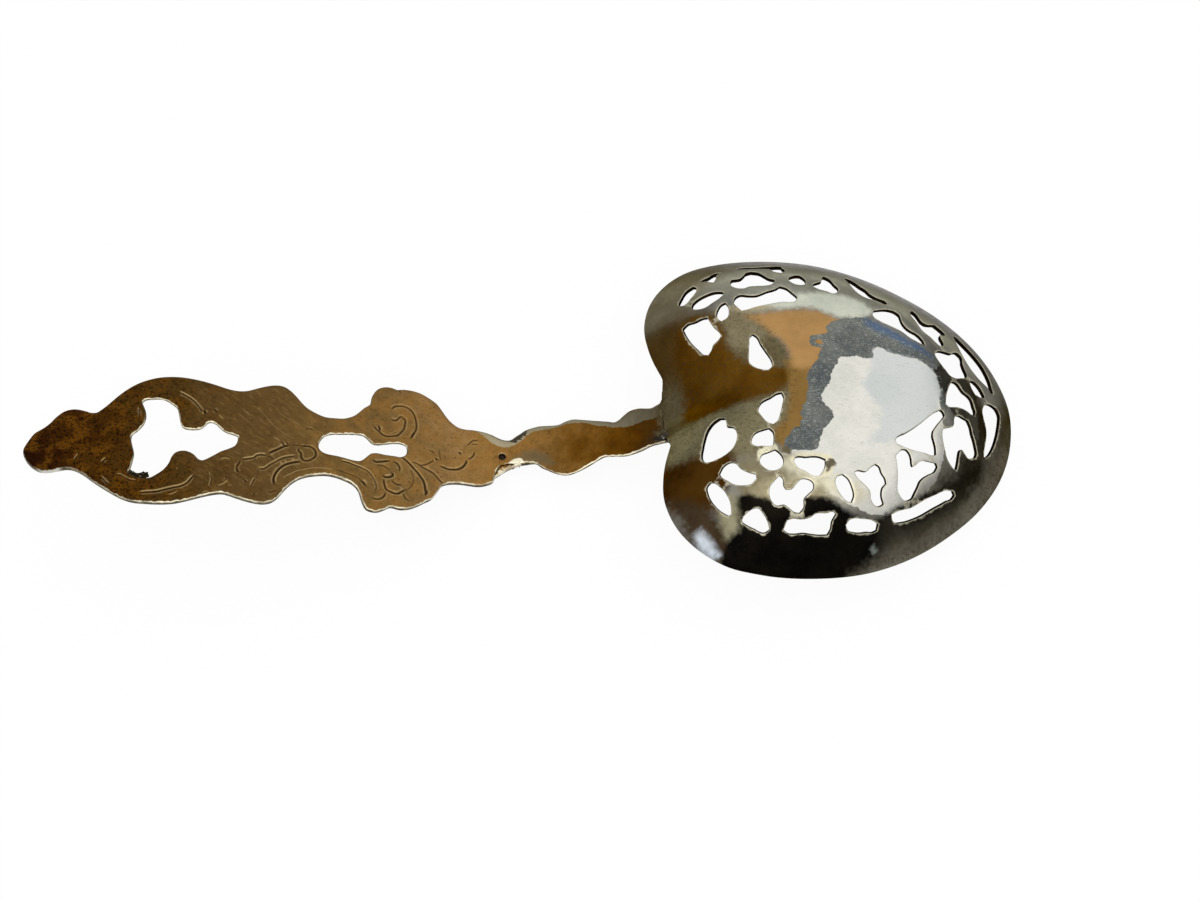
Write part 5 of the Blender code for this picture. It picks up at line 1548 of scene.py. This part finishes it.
def dirt():
    """Black dirt with a few bright specks of metal."""
    paint = Paint("eye_dirt", 1.0)
    grain = paint.noise(*DIRT_GRAIN)
    colour = paint.mix(paint.ramp(grain, *DIRT_MOTTLE), *DIRT_COLOURS)
    colour = paint.tinted(colour, paint.noise(*DIRT_SPECKS), *DIRT_SPECK_TINT)
    return paint.finish(colour, paint.ramp(grain, *MIDDLE, *DIRT_ROUGHNESS), grain, DIRT_BUMP)


bowl, bowl_height, heel = bowl_shell()
handle, handle_height, handle_outline = handle_shell()
stem, stem_height, stem_outline, seam = stem_shell()
tongue = tongue_shell(handle_height, handle_outline)
seam_piece = seam_skin(stem_height, bowl_height, seam, heel)
neck_piece = neck_skin(handle_height, stem_height, handle_outline, stem_outline)
peg = peg_head(handle_height)
crust = eye_crust(handle_height)

for piece, node, slot, material in (
    (bowl, "pierced_bowl", "bowl_silver", bowl_metal()),
    (handle, "scroll_handle", "handle_silver", brown_metal("handle_silver")),
    (stem, "stem", "stem_silver", brown_metal("stem_silver")),
    (tongue, None, "stem_silver", brown_metal("tongue_silver")),
    (seam_piece, "bowl_solder_seam", "seam_solder", brown_metal("seam_solder")),
    (neck_piece, "neck_solder_seam", "neck_solder", brown_metal("neck_solder")),
    (peg, "neck_peg", "peg_silver", peg_metal()),
    (crust, None, "handle_silver", dirt()),
):
    piece.data.materials.append(material)
    if node:
        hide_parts(node)
    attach(piece, "root")

# The studio, in metres
WHITE = (1.0, 1.0, 1.0)
FLOOR_REACH = 1.5
FLOOR_CORNERS = ((-1, -1), (1, -1), (1, 1), (-1, 1))
FLOOR_GAP = 0.05 * MM
FLOOR_COLOUR = (0.95, 0.95, 0.95)
FLOOR_ROUGHNESS = 0.9
FLOOR_GLOW = 0.93
CEILING_LEVEL = 1.05
WALL_LEVEL = 0.5
HORIZON = (-0.1, 0.8)
LAMP_PLACE = Vector((0.1, -0.55, 0.85))
LAMP_SIZE = 0.7
LAMP_POWER = 1.6


def camera():
    data = bpy.data.cameras.new("camera")
    data.sensor_fit = "HORIZONTAL"
    data.angle = CAMERA_VIEW
    data.clip_start = CAMERA_NEAR
    seen = bpy.data.objects.new("camera", data)
    turn = Matrix(camera_axes()).transposed()
    seen.matrix_world = Matrix.Translation(CAMERA_PLACE) @ turn.to_4x4()
    bpy.context.scene.collection.objects.link(seen)
    bpy.context.scene.camera = seen


def seen_share(nodes, share):
    """A factor that is share for camera, glossy and transmission rays, and 0 for the light that bounces."""
    path = nodes.node("LightPath").outputs
    largest = path["Is Camera Ray"]
    for name in ("Is Glossy Ray", "Is Transmission Ray"):
        largest = nodes.math("MAXIMUM", largest, path[name])
    return nodes.times(largest, share)


def either(nodes, share, first, second, output):
    """Joins a blend of two shaders to the surface of an output."""
    blend = nodes.node("MixShader", {"Fac": share, 1: first.outputs[0], 2: second.outputs[0]})
    nodes.give(nodes.tree.nodes[output].inputs["Surface"], blend.outputs[0])


def floor():
    """A pale floor that shows the camera and the metal a white ground with a faint shadow."""
    mesh = bpy.data.meshes.new("floor")
    corners = [(x * FLOOR_REACH, y * FLOOR_REACH, -FLOOR_GAP) for x, y in FLOOR_CORNERS]
    mesh.from_pydata(corners, [], [(0, 1, 2, 3)])
    piece = bpy.data.objects.new("floor", mesh)
    material = bpy.data.materials.new("floor")
    material.use_nodes = True
    nodes = Nodes(material.node_tree)
    paper = nodes.tree.nodes["Principled BSDF"]
    nodes.give(paper.inputs["Base Color"], FLOOR_COLOUR)
    nodes.give(paper.inputs["Roughness"], FLOOR_ROUGHNESS)
    either(nodes, seen_share(nodes, FLOOR_GLOW), paper, nodes.node("Emission"), "Material Output")
    mesh.materials.append(material)
    bpy.context.scene.collection.objects.link(piece)


def room():
    """A white ceiling that falls off to greyer walls. The camera itself sees plain white."""
    world = bpy.data.worlds.new("studio")
    world.use_nodes = True
    nodes = Nodes(world.node_tree)
    walls = nodes.tree.nodes["Background"]
    way = nodes.node("TexCoord").outputs["Generated"]
    rise = nodes.node("SeparateXYZ", {0: way}).outputs["Z"]
    nodes.give(walls.inputs["Color"], WHITE)
    nodes.give(walls.inputs["Strength"], nodes.ramp(rise, *HORIZON, WALL_LEVEL, CEILING_LEVEL))
    white = nodes.node("Background", {"Color": WHITE})
    either(nodes, nodes.node("LightPath").outputs["Is Camera Ray"], walls, white, "World Output")
    bpy.context.scene.world = world


def softbox():
    data = bpy.data.lights.new("softbox", "AREA")
    data.size = LAMP_SIZE
    data.energy = LAMP_POWER
    lamp = bpy.data.objects.new("softbox", data)
    lamp.location = LAMP_PLACE
    lamp.rotation_euler = (-LAMP_PLACE).to_track_quat("-Z", "Y").to_euler()
    bpy.context.scene.collection.objects.link(lamp)


camera()
floor()
room()
softbox()
bpy.context.scene.view_settings.view_transform = "Standard"
